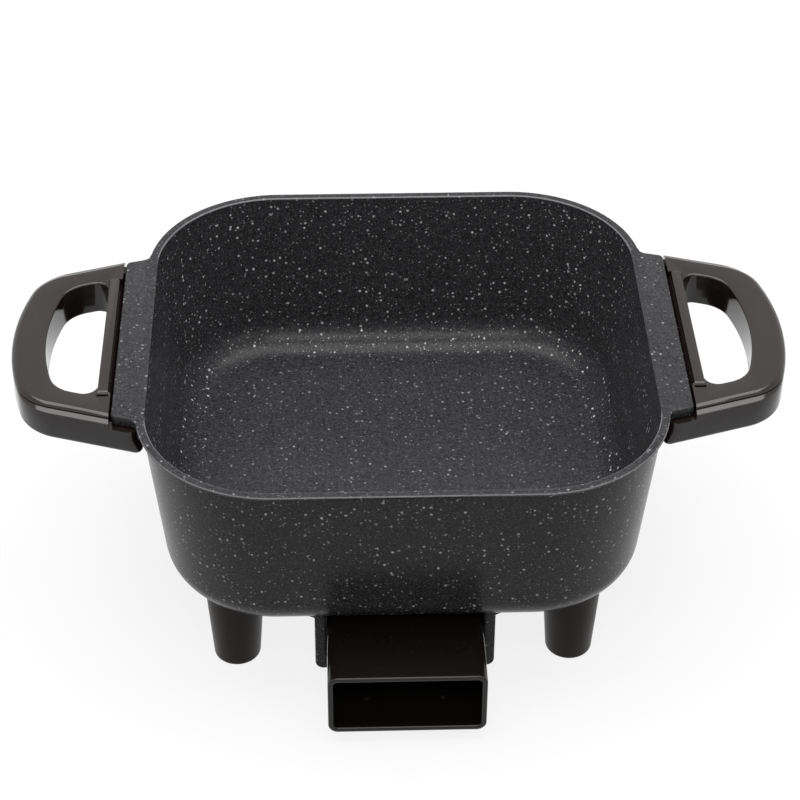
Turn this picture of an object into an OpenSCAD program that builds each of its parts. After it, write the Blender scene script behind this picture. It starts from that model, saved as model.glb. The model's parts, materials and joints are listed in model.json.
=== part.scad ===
// Electric skillet: a deep square pan on four tapered legs. Two loop handles hang
// under its side ears, each with a flip-up bar that props a lid, and a shroud under
// the front takes the plug of a heat control. Millimetres, +Z up, the front is -Y.

/* [Pan] */
// Width and depth of the rim
rim_w = 294; // [280:1:330]
// Height of the rim above the table
rim_h = 158; // [140:1:185]
// Height of the pan's underside above the table
base_z = 49.5; // [44:0.5:56]
// Radius of the rim's corners, seen from above
corner_r = 76; // [66:1:90]
// Thickness of the pan's wall
wall_t = 2.2; // [2:0.1:4]
// Thickness of the pan's floor
floor_t = 5; // [4:0.5:7]
// Slope of the wall from upright, in degrees
draft = 6; // [3:0.5:8]
// Outer radius between wall and underside
base_r = 24; // [20:1:33]
// How far the rim stands out from the wall
lip = 2.8; // [2:0.1:6]
// Thickness of the rim
lip_t = 3; // [2:0.1:4.5]

/* [Ears] */
// How far an ear stands out from the rim
ear_out = 13.4; // [10:0.2:16]
// Length of an ear's outer edge
ear_len = 149; // [130:1:152]
// Thickness of an ear
ear_t = 6.2; // [4:0.1:8]
// Slope of the ears' ends, in degrees
ear_slope = 15; // [2:1:18]

/* [Handles] */
// How far a handle stands out from the rim
handle_reach = 74; // [67:0.5:84]
// Thickness of a handle
handle_t = 21; // [18:0.5:28]
// Slope of the handles' sides, in degrees
side_slope = 18; // [10:1:24]
// Gap between an ear and the top of its handle
seam = 1.2; // [0.6:0.1:2]
// Gap between the pan's wall and the inner end of a handle
wall_gap = 1; // [0.6:0.1:2]
// Radius of a handle's outer corners, seen from above
handle_corner_r = 31; // [25:1:39]
// Radius of the bow of a handle's outer side
handle_bow_r = 160; // [110:5:300]
// Width of the grip between the finger hole and the outer side
grip_w = 19.5; // [15:0.5:24]
// Width of the arms beside the finger hole
arm_w = 19; // [15:0.5:21]
// Radius of the finger hole's outer corners
hole_corner_r = 19; // [12:1:24]
// Radius of the finger hole's inner corners
hole_inner_r = 7; // [4:0.5:10]
// Distance from the seam to the finger hole
hole_edge = 7.9; // [7.2:0.1:10]
// How far the handle's sides stand out from its top, which is flush with the ear's ends
step_in = 4; // [2:0.1:5]
// Height of that step
step_h = 2.6; // [2:0.1:4]
// Radius of the handle's lower edges
under_r = 3; // [2:0.5:6]
// Radius of the handle's upper edges
upper_r = 1.2; // [0.4:0.1:1.5]
// Height of the toe that reaches in to the pan's wall
toe_h = 9; // [7:0.5:12]

/* [Lid props] */
// Width of a prop bar
prop_w = 4.6; // [3.6:0.1:4.8]
// Length of a prop bar beyond its pivot
prop_len = 108.5; // [90:0.5:111]
// Distance of the pivot in front of the handle's middle
prop_y = 52; // [50:0.5:54]
// Distance from the seam to the middle of the bar
prop_x = 5; // [4.8:0.1:5.2]
// Depth of the pivot under the handle's top
prop_sink = 1.8; // [1.4:0.1:2.6]
// How far the bar stands above the handle's top
prop_proud = 0.8; // [0.2:0.1:1.5]
// Thickness of the bar under its pivot
prop_under = 1.6; // [1.3:0.1:2.2]
// Diameter of the pivot pin
prop_pin_d = 2; // [1.6:0.1:2.2]
// Depth of the pin's seat in the handle, on each side
prop_pin_seat = 1.5; // [1:0.1:1.6]
// Clearance beside and under the bar
prop_gap = 0.4; // [0.3:0.05:0.6]

/* [Legs] */
// Distance of a leg's axis outside the centre of its corner, along X and Y
leg_out = 25; // [18:0.5:26]
// Diameter of a leg at the table
leg_foot_d = 26.4; // [22:0.2:30]
// Taper of a leg's side, in degrees
leg_taper = 4; // [2:0.5:5]
// Radius of the edge round a leg's foot
leg_edge_r = 2.6; // [1.5:0.1:3]
// Diameter of the boss that seats a leg
leg_boss_d = 18; // [14:0.5:20]
// Height of that boss
leg_boss_h = 6; // [4:0.5:9]
// Thickness of the web that the leg's screw clamps
leg_web = 8; // [5:0.5:12]
// Diameter of a foot pad
pad_d = 18; // [14:0.5:18.6]
// Thickness of a foot pad
pad_t = 3.4; // [2.5:0.1:5]
// How far a foot pad stands below its leg
pad_proud = 0.8; // [0.4:0.1:1.5]

/* [Inlet] */
// Width of the shroud
shroud_w = 88; // [80:1:96]
// Height of the shroud
shroud_h = 41; // [36:0.5:41.5]
// Wall of the shroud
shroud_wall = 3.2; // [2.4:0.1:4]
// Outer corner radius of the shroud
shroud_r = 5.5; // [4.5:0.5:8]
// How far the shroud's mouth stands in front of the rim
shroud_out = 23; // [12:1:32]
// Gap between the shroud and the pan's underside
shroud_drop = 1.5; // [1:0.1:2]
// Distance of the shroud's rear face behind the rim
shroud_in = 36; // [34:0.5:38]
// Thickness of the shroud's rear wall and flanges
flange_t = 3; // [2:0.1:4]
// Width of the cast lugs beside the shroud
lug_w = 6.5; // [6:0.1:9]
// Depth of the lugs from front to back
lug_t = 10; // [8:0.5:13]
// Height of the lugs' lower ends above the shroud's underside
lug_lift = 5; // [3:0.5:9]
// Gap between a lug and the shroud
lug_gap = 0.3; // [0.2:0.1:0.8]
// Width of the flare where a lug runs into the pan
flare_w = 8; // [5:0.5:14]
// Height of that flare
flare_h = 4.5; // [3:0.5:8]
// Distance of each terminal pin from the middle
pin_x = 22; // [19:0.5:26]
// Diameter of the terminal pins
pin_d = 6; // [5:0.1:6.4]
// Length of the terminal pins in front of the shroud's rear wall
pin_len = 22; // [16:0.5:28]
// Diameter of the terminal pins' shanks behind that wall
shank_d = 5; // [4:0.1:5.4]
// Bore of the probe sleeve
probe_d = 7.2; // [5:0.1:8]
// Wall of the probe sleeve
sleeve_t = 1.4; // [1:0.1:2]
// Length of the probe sleeve
sleeve_len = 58; // [40:1:62]
// Length of the sleeve in front of the shroud's rear wall
sleeve_out = 8; // [4:0.5:14]

/* [Heating element] */
// Diameter of the element's tube
tube_d = 7.5; // [6.5:0.1:8.5]
// Distance of the element's loop inside the rim
loop_in = 76; // [74:1:80]
// Bend radius of the loop's corners
loop_r = 27; // [20:1:36]
// Bend radius where the tube turns to the front
turn_r = 12; // [10:0.5:13]
// Bend radius of the two bends down to the inlet
drop_r = 8; // [7:0.5:8.5]
// Width of the rib that the tube lies in
rib_w = 14; // [12:0.5:18]
// Height of that rib
rib_h = 5; // [4:0.5:6]

/* [Fasteners and fits] */
// Diameter of the screws' shanks
screw_d = 4; // [3:0.1:4.2]
// Diameter of the screws' heads
screw_head_d = 7.4; // [6:0.1:7.6]
// Height of the screws' heads
screw_head_h = 2.6; // [2:0.1:3]
// Length of thread in a boss
screw_grip = 7; // [5:0.5:8]
// Diameter of the shroud screws' shanks
small_screw_d = 2.6; // [2:0.1:3]
// Diameter of the shroud screws' heads
small_head_d = 4.8; // [4:0.1:5.4]
// Radial clearance of a screw in its clearance hole
hole_gap = 0.25; // [0.15:0.05:0.4]
// Radial clearance of a pressed or threaded piece in its seat
seat_gap = 0.05; // [0.02:0.01:0.1]
// Radial clearance of a pivot pin in its bar
run_gap = 0.05; // [0.02:0.01:0.09]
// Clearance round a boss in its socket
socket_gap = 0.25; // [0.15:0.05:0.4]

/* [Hidden] */

// Fragments of a full turn, and of each arc in the handles' outlines
round_n = 72;
loop_n = 8;
// Overrun of cutting shapes past the faces that they cut
over = 1;

// Rim outline: a square with round corners
rim_half = rim_w / 2;
corner_c = rim_half - corner_r;
rim_band = 14;
// Overlap of the pan's middle with its swept sides
core_lap = 8;

// The whole part is centred over its footprint, which the shroud lengthens to the front
frame_y = shroud_out / 2;

// Ear ends and handle sides start from the same corner of the ear's outer edge
ear_x = rim_half + ear_out;
ear_y = ear_len / 2;
seam_x = ear_x + seam;
shelf_z = rim_h - ear_t;

// Screw bosses under the ears
ear_boss_d = 9;
ear_boss_h = 8;
ear_boss_in = 24;
ear_boss_x = (rim_half + ear_x) / 2;
ear_boss_y = ear_y - ear_boss_in;

// Handle
handle_out = rim_half + handle_reach;
handle_in = rim_half - lip + wall_gap;
handle_z = rim_h - handle_t;
hole_x = seam_x + hole_edge;
handle_inner_r = 6;
toe_r = under_r + 1;
toe_x = handle_in - (handle_t - under_r) * tan(draft);
hole_bevel = 0.8;
head_recess = 3.2;
handle_screw_len = handle_t - ear_t - ear_boss_h - head_recess + screw_grip;

// Lid prop, measured from its pivot
prop_px = seam_x + prop_x;
prop_pz = rim_h - prop_sink;
prop_over = prop_sink + prop_proud;
prop_end_r = prop_w / 2;
prop_pin_len = prop_w + 2 * prop_gap + 2 * prop_pin_seat;
pocket_gap = 1.6;
pocket_y = prop_over + pocket_gap;
// The groove opens into the finger hole along that hole's straight side
open_over = 2;
open_y = side_y(hole_x + hole_inner_r, arm_w - step_in + hole_inner_r) + open_over;

// Legs
leg_x = corner_c + leg_out;
leg_top_r = leg_foot_d / 2 + (base_z - pad_proud) * tan(leg_taper);
leg_rise = 6;
leg_seat_z = base_z - leg_boss_h;
leg_web_z = leg_seat_z - leg_web;
leg_well_gap = 1.5;
leg_well_d = screw_head_d + 2 * leg_well_gap;

// Inlet
shroud_front = -(rim_half + shroud_out);
shroud_rear = rim_half - shroud_in;
shroud_z1 = base_z - shroud_drop;
shroud_z0 = shroud_z1 - shroud_h;
lug_x0 = shroud_w / 2 + lug_gap;
lug_x1 = lug_x0 + lug_w;
lug_z0 = shroud_z0 + lug_lift;
lug_back = -shroud_rear - flange_t;
lug_front = lug_back - lug_t;
lug_r = 4.5;
tube_z = base_z - rib_h;
inlet_z = tube_z - 2 * drop_r;
sleeve_d = probe_d + 2 * sleeve_t;
boss_wall = 3.5;
boss_w = sleeve_d + 2 * boss_wall;
boss_set = 3;
boss_front = -shroud_rear + boss_set;
sleeve_front = -shroud_rear - flange_t - sleeve_out;
sleeve_back = sleeve_front + sleeve_len;
boss_back = sleeve_back + boss_wall;
insulator_d = 10;
insulator_len = 6;
insulator_gap = 1;
tube_end = -shroud_rear + insulator_len + insulator_gap;
small_grip = 5;
small_screw_x = (lug_x0 + lug_x1) / 2;
small_screw_z = (lug_z0 + shroud_z1) / 2;

// Heating element: the front run leaves the loop beside each terminal pin
loop_half = rim_half - loop_in;
loop_c = loop_half - loop_r;
turn_x = pin_x + turn_r;
turn_y = -loop_half - turn_r;
tube_lead = 2;
drop_start = tube_end + 2 * drop_r + tube_lead;

// Point where the line of the handle's side, set in by e, meets a given x
function side_y(x, e) = ear_y - (x - ear_x) * tan(side_slope) - e / cos(side_slope);

// Centre of the circle of radius r that touches, from inside, the side line set in by e
// and the bow of radius big round [bow_x, 0]
function corner_centre(e, r, bow_x, big) =
    let (q = [ear_x, ear_y] - (e + r) * [sin(side_slope), cos(side_slope)],
         run = [cos(side_slope), -sin(side_slope)],
         w = q - [bow_x, 0],
         k = w * run)
    q + (sqrt(k * k - w * w + (big - r) * (big - r)) - k) * run;

// Points of an arc, without its first point
function arc_points(centre, r, from, to, n) =
    [for (k = [1 : n]) let (a = from + (to - from) * k / n) centre + r * [cos(a), sin(a)]];

// Closed outline between two sloped sides set in by inset, an outer bow that reaches
// outer_x and an inner edge at inner_x, all drawn in by e. Its corners are rounded.
function loop_outline(inner_x, inner_r, inset, outer_r, outer_x, big, e) =
    let (bow = [outer_x - big, 0],
         corner = corner_centre(inset, outer_r, bow.x, big),
         bow_end = atan2(corner.y, corner.x - bow.x),
         inner = [inner_x + inner_r, side_y(inner_x + inner_r, inset + inner_r)],
         half = concat(
            arc_points(bow, big - e, 0, bow_end, loop_n),
            arc_points(corner, outer_r - e, bow_end, 90 - side_slope, loop_n),
            arc_points(inner, inner_r - e, 90 - side_slope, 180, loop_n)))
    concat([[outer_x - e, 0]], half, [for (k = [len(half) - 1 : -1 : 0]) [half[k].x, -half[k].y]]);

function handle_outline(e, inner_x, inner_r) =
    loop_outline(inner_x, inner_r, -step_in, handle_corner_r, handle_out, handle_bow_r, e);

function hole_outline(e) =
    loop_outline(hole_x, hole_inner_r, arm_w - step_in, hole_corner_r,
        handle_out - grip_w, handle_bow_r - grip_w, e);

// Sweeps a profile along an arc. In the profile, x is the distance inwards from the arc.
module arc_run(centre, radius, from, to, n) {
    translate(centre)
        rotate(from)
            rotate_extrude(angle = to - from, $fn = n)
                translate([radius, 0])
                    mirror([1, 0])
                        children();
}

// Sweeps a profile from a to b, along X or Y, with the inside on its left
module line_run(a, b) {
    run = b - a;
    translate([a.x, a.y, 0])
        rotate(atan2(run.y, run.x))
            rotate([90, 0, 90])
                linear_extrude(max(abs(run.x), abs(run.y)))
                    children();
}

module rounded_rect(w, h, r) {
    square([w - 2 * r, h], center = true);
    square([w, h - 2 * r], center = true);
    for (x = [-1, 1], y = [-1, 1])
        translate([x * (w / 2 - r), y * (h / 2 - r)])
            circle(r, $fn = round_n);
}

// Half-section of the space inside the wall line, set in by gap and closed by a bend of
// radius bend above floor_z. x is the distance inwards from the rim outline.
module wall_section(gap, floor_z, bend, top, reach) {
    bend_z = floor_z + bend;
    function wall_d(z) = lip + (rim_h - z) * tan(draft) + gap / cos(draft);
    bend_d = wall_d(bend_z) + bend / cos(draft);
    touch = [bend_d - bend * cos(draft), bend_z - bend * sin(draft)];
    polygon([[wall_d(top), top], touch, [bend_d, bend_z], [bend_d, floor_z],
        [reach, floor_z], [reach, top]]);
    intersection() {
        translate([bend_d, bend_z])
            circle(bend, $fn = round_n);
        translate([bend_d - bend, floor_z])
            square(bend);
    }
}

// Sweeps a profile round the rim outline
module around_rim() {
    for (k = [0 : 3])
        rotate(90 * k) {
            arc_run([corner_c, corner_c], corner_r, 0, 90, round_n)
                children();
            line_run([corner_c, rim_half], [-corner_c, rim_half])
                children();
        }
}

// Solid of the wall section swept round the rim outline, filled to the middle
module pan_form(gap, floor_z, bend, top) {
    around_rim()
        wall_section(gap, floor_z, bend, top, corner_r);
    core = corner_c + core_lap;
    translate([-core, -core, floor_z])
        cube([2 * core, 2 * core, top - floor_z]);
}

// Rim: a flat band with a rounded outer edge
module rim_section() {
    translate([lip_t / 2, rim_h - lip_t / 2])
        circle(lip_t / 2, $fn = round_n);
    translate([lip_t / 2, rim_h - lip_t])
        square([rim_band, lip_t]);
}

module ear() {
    root_x = rim_half - rim_band / 2;
    neck_x = rim_half - lip;
    neck_y = ear_y + (ear_x - neck_x) * tan(ear_slope);
    translate([0, 0, shelf_z])
        linear_extrude(ear_t)
            polygon([[root_x, -corner_c], [neck_x, -neck_y], [ear_x, -ear_y],
                [ear_x, ear_y], [neck_x, neck_y], [root_x, corner_c]]);
    for (y = [-1, 1])
        translate([ear_boss_x, y * ear_boss_y, shelf_z - ear_boss_h])
            cylinder(d = ear_boss_d, h = ear_boss_h + over, $fn = round_n);
}

module ear_screw_holes() {
    for (y = [-1, 1])
        translate([ear_boss_x, y * ear_boss_y, shelf_z - ear_boss_h - over])
            cylinder(d = screw_d + 2 * seat_gap, h = screw_grip + 2 * over, $fn = round_n);
}

module at_legs() {
    for (k = [0 : 3])
        rotate(90 * k)
            translate([leg_x, leg_x, 0])
                children();
}

// Cast lug beside the shroud, with a flare where it runs into the pan
module lug() {
    lug_top = base_z + base_r / 2;
    translate([0, lug_back, 0])
        rotate([90, 0, 0])
            linear_extrude(lug_t) {
                translate([lug_x0, lug_z0])
                    square([lug_w - lug_r, lug_r]);
                translate([lug_x0, lug_z0 + lug_r])
                    square([lug_w, lug_top - lug_z0 - lug_r]);
                intersection() {
                    translate([lug_x1 - lug_r, lug_z0 + lug_r])
                        circle(lug_r, $fn = round_n);
                    translate([lug_x0, lug_z0])
                        square([lug_w, 2 * lug_r]);
                }
                polygon([[lug_x0, base_z], [lug_x1, base_z], [lug_x1 + flare_w, base_z + flare_h],
                    [lug_x1 + flare_w, lug_top], [lug_x0, lug_top]]);
            }
}

// Boss under the floor that holds the probe sleeve
module probe_boss() {
    translate([-boss_w / 2, boss_front, inlet_z])
        cube([boss_w, boss_back - boss_front, base_z - inlet_z + over]);
    translate([0, boss_front, inlet_z])
        rotate([-90, 0, 0])
            cylinder(d = boss_w, h = boss_back - boss_front, $fn = round_n);
}

// Sweeps a profile along the element's loop, from one front run to the other
module along_loop() {
    for (s = [0, 1])
        mirror([s, 0, 0]) {
            translate([-turn_x, turn_y])
                rotate_extrude(angle = 90, $fn = round_n)
                    translate([turn_r, 0])
                        children();
            line_run([-turn_x, -loop_half], [-loop_c, -loop_half])
                children();
            arc_run([-loop_c, -loop_c], loop_r, 180, 270, round_n)
                children();
            line_run([-loop_half, loop_c], [-loop_half, -loop_c])
                children();
            arc_run([-loop_c, loop_c], loop_r, 90, 180, round_n)
                children();
            line_run([0, loop_half], [-loop_c, loop_half])
                children();
        }
}

module pan_body() {
    color("dimgray")
        difference() {
            union() {
                pan_form(0, base_z, base_r, rim_h);
                around_rim()
                    rim_section();
                for (s = [0, 1])
                    mirror([s, 0, 0]) {
                        ear();
                        lug();
                    }
                at_legs()
                    translate([0, 0, leg_seat_z])
                        cylinder(d = leg_boss_d, h = leg_boss_h + floor_t / 2, $fn = round_n);
                along_loop()
                    translate([-rib_w / 2, tube_z])
                        square([rib_w, rib_h + over]);
                probe_boss();
            }
            pan_form(wall_t, base_z + floor_t, base_r - wall_t, rim_h + over);
            for (s = [0, 1])
                mirror([s, 0, 0]) {
                    ear_screw_holes();
                    translate([small_screw_x, lug_back + over, small_screw_z])
                        rotate([90, 0, 0])
                            cylinder(d = small_screw_d + 2 * seat_gap, h = small_grip + 2 * over, $fn = round_n);
                }
            at_legs()
                translate([0, 0, leg_seat_z - over])
                    cylinder(d = screw_d + 2 * seat_gap, h = screw_grip + 2 * over, $fn = round_n);
            along_loop()
                translate([0, tube_z])
                    circle(d = tube_d + 2 * seat_gap, $fn = round_n);
            translate([0, boss_front - over, inlet_z])
                rotate([-90, 0, 0])
                    cylinder(d = sleeve_d + 2 * seat_gap, h = sleeve_back - boss_front + over, $fn = round_n);
        }
}

// Tube with two bends down at each end, cut flat at the terminals
module heating_element() {
    color("silver") {
        along_loop()
            translate([0, tube_z])
                circle(d = tube_d, $fn = round_n);
        for (x = [-pin_x, pin_x])
            translate([x, 0, 0]) {
                translate([0, turn_y, tube_z])
                    rotate([90, 0, 0])
                        cylinder(d = tube_d, h = turn_y - drop_start, $fn = round_n);
                translate([0, drop_start, tube_z - drop_r])
                    rotate([0, -90, 0])
                        rotate(270)
                            rotate_extrude(angle = 90, $fn = round_n)
                                translate([drop_r, 0])
                                    circle(d = tube_d, $fn = round_n);
                translate([0, drop_start - 2 * drop_r, tube_z - drop_r])
                    rotate([0, -90, 0])
                        rotate(90)
                            rotate_extrude(angle = 90, $fn = round_n)
                                translate([drop_r, 0])
                                    circle(d = tube_d, $fn = round_n);
                translate([0, tube_end, inlet_z])
                    rotate([-90, 0, 0])
                        cylinder(d = tube_d, h = drop_start - 2 * drop_r - tube_end, $fn = round_n);
            }
    }
}

// Pin with a thinner shank that runs back through the insulator to the tube
module terminal_pin(x) {
    tip = pin_d / 4;
    shank_len = tube_end + shroud_rear + flange_t;
    color("lightgray")
        translate([x, tube_end, inlet_z])
            rotate([90, 0, 0]) {
                cylinder(d = shank_d, h = shank_len, $fn = round_n);
                translate([0, 0, shank_len])
                    cylinder(d = pin_d, h = pin_len - tip, $fn = round_n);
                translate([0, 0, shank_len + pin_len - tip])
                    cylinder(d1 = pin_d, d2 = pin_d - 2 * tip, h = tip, $fn = round_n);
            }
}

module insulator(x) {
    color("ivory")
        translate([x, tube_end, inlet_z])
            rotate([90, 0, 0])
                difference() {
                    cylinder(d = insulator_d, h = insulator_len, $fn = round_n);
                    translate([0, 0, -over])
                        cylinder(d = shank_d + 2 * seat_gap, h = insulator_len + 2 * over, $fn = round_n);
                }
}

module probe_sleeve() {
    color("silver")
        translate([0, sleeve_front, inlet_z])
            rotate([-90, 0, 0])
                difference() {
                    cylinder(d = sleeve_d, h = sleeve_len, $fn = round_n);
                    translate([0, 0, -over])
                        cylinder(d = probe_d, h = sleeve_len + 2 * over, $fn = round_n);
                }
}

// Box open to the front, with side flanges that sit behind the lugs
module socket_shroud() {
    mid_z = (shroud_z0 + shroud_z1) / 2;
    depth = -shroud_rear - shroud_front;
    flange_h = shroud_z1 - lug_z0;
    color("black")
        difference() {
            union() {
                translate([0, -shroud_rear, mid_z])
                    rotate([90, 0, 0])
                        linear_extrude(depth)
                            rounded_rect(shroud_w, shroud_h, shroud_r);
                translate([0, -shroud_rear, lug_z0 + flange_h / 2])
                    rotate([90, 0, 0])
                        linear_extrude(flange_t)
                            rounded_rect(2 * lug_x1, flange_h, lug_r);
            }
            translate([0, -shroud_rear - flange_t, mid_z])
                rotate([90, 0, 0])
                    linear_extrude(depth)
                        rounded_rect(shroud_w - 2 * shroud_wall, shroud_h - 2 * shroud_wall,
                            shroud_r - shroud_wall);
            for (x = [-pin_x, 0, pin_x])
                translate([x, -shroud_rear + over, inlet_z])
                    rotate([90, 0, 0])
                        cylinder(d = (x == 0 ? sleeve_d : pin_d) + 2 * hole_gap,
                            h = flange_t + 2 * over, $fn = round_n);
            for (x = [-small_screw_x, small_screw_x])
                translate([x, -shroud_rear + over, small_screw_z])
                    rotate([90, 0, 0])
                        cylinder(d = small_screw_d + 2 * hole_gap, h = flange_t + 2 * over, $fn = round_n);
        }
}

// Screw with its head's underside at z = 0, shank upwards, and a cross slot in the head
module screw(d, head_d, head_h, length) {
    slot_w = head_d / 6;
    cylinder(d = d, h = length, $fn = round_n);
    difference() {
        translate([0, 0, -head_h])
            cylinder(d = head_d, h = head_h, $fn = round_n);
        for (a = [0, 90])
            rotate(a)
                translate([-head_d / 3, -slot_w / 2, -head_h - over])
                    cube([head_d * 2 / 3, slot_w, head_h / 2 + over]);
    }
}

module shroud_screws() {
    color("gray")
        for (x = [-small_screw_x, small_screw_x])
            translate([x, -shroud_rear, small_screw_z])
                rotate([90, 0, 0])
                    screw(small_screw_d, small_head_d, screw_head_h * small_head_d / screw_head_d,
                        flange_t + small_grip);
}

// Solid through a stack of rings of points, each seen anticlockwise from above
module loft(rings) {
    n = len(rings[0]);
    m = len(rings);
    polyhedron(
        points = [for (ring = rings) each ring],
        faces = concat(
            [[for (k = [0 : n - 1]) k]],
            [for (j = [0 : m - 2], k = [0 : n - 1])
                [j * n + k, (j + 1) * n + k, (j + 1) * n + (k + 1) % n, j * n + (k + 1) % n]],
            [[for (k = [n - 1 : -1 : 0]) (m - 1) * n + k]]));
}

// Outer shape of a handle: a rounded lower edge, a toe, and a top set in by a step
module handle_form() {
    ledge_z = rim_h - step_h;
    under = [for (a = [0 : 22.5 : 90]) [handle_z + under_r * (1 - cos(a)), under_r * (1 - sin(a))]];
    ledge = [for (a = [0, 45, 90]) [ledge_z - upper_r * (1 - sin(a)), upper_r * (1 - cos(a))]];
    top = [for (a = [0, 45, 90]) [rim_h - upper_r * (1 - sin(a)), step_in + upper_r * (1 - cos(a))]];
    upper = concat([[handle_z + toe_h, 0]], ledge, [[ledge_z, step_in]], top);
    loft(concat(
        [for (l = under) [for (p = handle_outline(l[1], toe_x, toe_r)) [p.x, p.y, l[0]]]],
        [for (l = upper) [for (p = handle_outline(l[1], handle_in, handle_inner_r)) [p.x, p.y, l[0]]]]));
}

// Finger hole with a small bevel at its top and bottom edges
module finger_hole() {
    levels = [[handle_z - over, -hole_bevel], [handle_z, -hole_bevel], [handle_z + hole_bevel, 0],
        [rim_h - hole_bevel, 0], [rim_h, -hole_bevel], [rim_h + over, -hole_bevel]];
    loft([for (l = levels) [for (p = hole_outline(l[1])) [p.x, p.y, l[0]]]]);
}

// Groove for the lid prop, open to the finger hole, with a deeper pocket round its pivot
module prop_groove() {
    groove_w = prop_w + 2 * prop_gap;
    far_y = prop_len + prop_gap - groove_w / 2;
    translate([prop_px, -prop_y, prop_pz - prop_under - prop_gap])
        linear_extrude(handle_t) {
            translate([-groove_w / 2, 0])
                square([groove_w, far_y]);
            translate([0, far_y])
                circle(d = groove_w, $fn = round_n);
            translate([0, prop_y - open_y])
                square([hole_x - prop_px + over, 2 * open_y]);
        }
    translate([prop_px - groove_w / 2, -prop_y - pocket_y, prop_pz - prop_over - prop_gap])
        cube([groove_w, 2 * pocket_y, handle_t]);
}

// Right-hand handle; the left one is its mirror image
module handle() {
    color("black")
        difference() {
            handle_form();
            // Room for the ear
            translate([0, -rim_half, shelf_z])
                cube([seam_x, rim_w, handle_t]);
            finger_hole();
            prop_groove();
            translate([prop_px, -prop_y, prop_pz])
                rotate([0, 90, 0])
                    cylinder(d = prop_pin_d + 2 * seat_gap, h = prop_pin_len, center = true, $fn = round_n);
            for (y = [-ear_boss_y, ear_boss_y])
                translate([ear_boss_x, y, 0]) {
                    translate([0, 0, shelf_z - ear_boss_h - socket_gap])
                        cylinder(d = ear_boss_d + 2 * socket_gap, h = handle_t, $fn = round_n);
                    translate([0, 0, handle_z - over])
                        cylinder(d = screw_d + 2 * hole_gap, h = handle_t, $fn = round_n);
                    translate([0, 0, handle_z - over])
                        cylinder(d = screw_head_d + 2 * hole_gap, h = head_recess + over, $fn = round_n);
                }
        }
}

module handle_screws() {
    color("gray")
        for (y = [-ear_boss_y, ear_boss_y])
            translate([ear_boss_x, y, handle_z + head_recess])
                screw(screw_d, screw_head_d, screw_head_h, handle_screw_len);
}

// Bar with a round eye on its pivot and a rounded free end
module lid_prop() {
    color([0.16, 0.15, 0.15])
        translate([prop_px, -prop_y, prop_pz])
            difference() {
                intersection() {
                    rotate([90, 0, 90])
                        linear_extrude(prop_w, center = true) {
                            circle(prop_over, $fn = round_n);
                            translate([0, -prop_under])
                                square([prop_len, prop_under + prop_over]);
                        }
                    translate([0, 0, -prop_over - over])
                        linear_extrude(2 * prop_over + 2 * over) {
                            translate([-prop_w / 2, -prop_over - over])
                                square([prop_w, prop_len + prop_over + over - prop_end_r]);
                            translate([0, prop_len - prop_end_r])
                                circle(prop_end_r, $fn = round_n);
                        }
                }
                rotate([0, 90, 0])
                    cylinder(d = prop_pin_d + 2 * run_gap, h = prop_w + 2 * over, center = true, $fn = round_n);
            }
}

module lid_prop_pin() {
    color("silver")
        translate([prop_px, -prop_y, prop_pz])
            rotate([0, 90, 0])
                cylinder(d = prop_pin_d, h = prop_pin_len, center = true, $fn = round_n);
}

// Leg for the corner at +X +Y: a tapered turning, scribed at its top to the pan's bend
module leg() {
    foot_r = leg_foot_d / 2;
    top_z = base_z + leg_rise;
    color([0.1, 0.1, 0.1])
        difference() {
            translate([leg_x, leg_x, 0])
                rotate_extrude($fn = round_n) {
                    polygon([[0, pad_proud], [foot_r - leg_edge_r, pad_proud],
                        [foot_r - leg_edge_r, pad_proud + leg_edge_r],
                        [foot_r - leg_edge_r + leg_edge_r * cos(leg_taper),
                            pad_proud + leg_edge_r - leg_edge_r * sin(leg_taper)],
                        [leg_top_r + leg_rise * tan(leg_taper), top_z], [0, top_z]]);
                    translate([foot_r - leg_edge_r, pad_proud + leg_edge_r])
                        circle(leg_edge_r, $fn = round_n);
                }
            translate([corner_c, corner_c, -socket_gap])
                rotate_extrude($fn = 2 * round_n)
                    translate([corner_r, 0])
                        mirror([1, 0])
                            wall_section(-socket_gap, base_z, base_r + socket_gap, rim_h, corner_r);
            translate([leg_x, leg_x, 0]) {
                translate([0, 0, leg_seat_z])
                    cylinder(d = leg_boss_d + 2 * socket_gap, h = base_z, $fn = round_n);
                cylinder(d = screw_d + 2 * hole_gap, h = base_z, $fn = round_n);
                cylinder(d = leg_well_d, h = leg_web_z, $fn = round_n);
                cylinder(d = pad_d + 2 * seat_gap, h = pad_t, $fn = round_n);
            }
        }
}

module leg_screws() {
    color("gray")
        at_legs()
            translate([0, 0, leg_web_z])
                screw(screw_d, screw_head_d, screw_head_h, leg_web + screw_grip);
}

// Rubber pad with a bevelled rim, pressed into the foot of a leg
module foot_pad() {
    bevel = pad_proud / 2;
    color([0.2, 0.2, 0.2])
        translate([leg_x, leg_x, 0]) {
            cylinder(d1 = pad_d - 2 * bevel, d2 = pad_d, h = bevel, $fn = round_n);
            translate([0, 0, bevel])
                cylinder(d = pad_d, h = pad_t - bevel, $fn = round_n);
        }
}

module placed() {
    translate([0, frame_y, 0])
        children();
}

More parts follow.
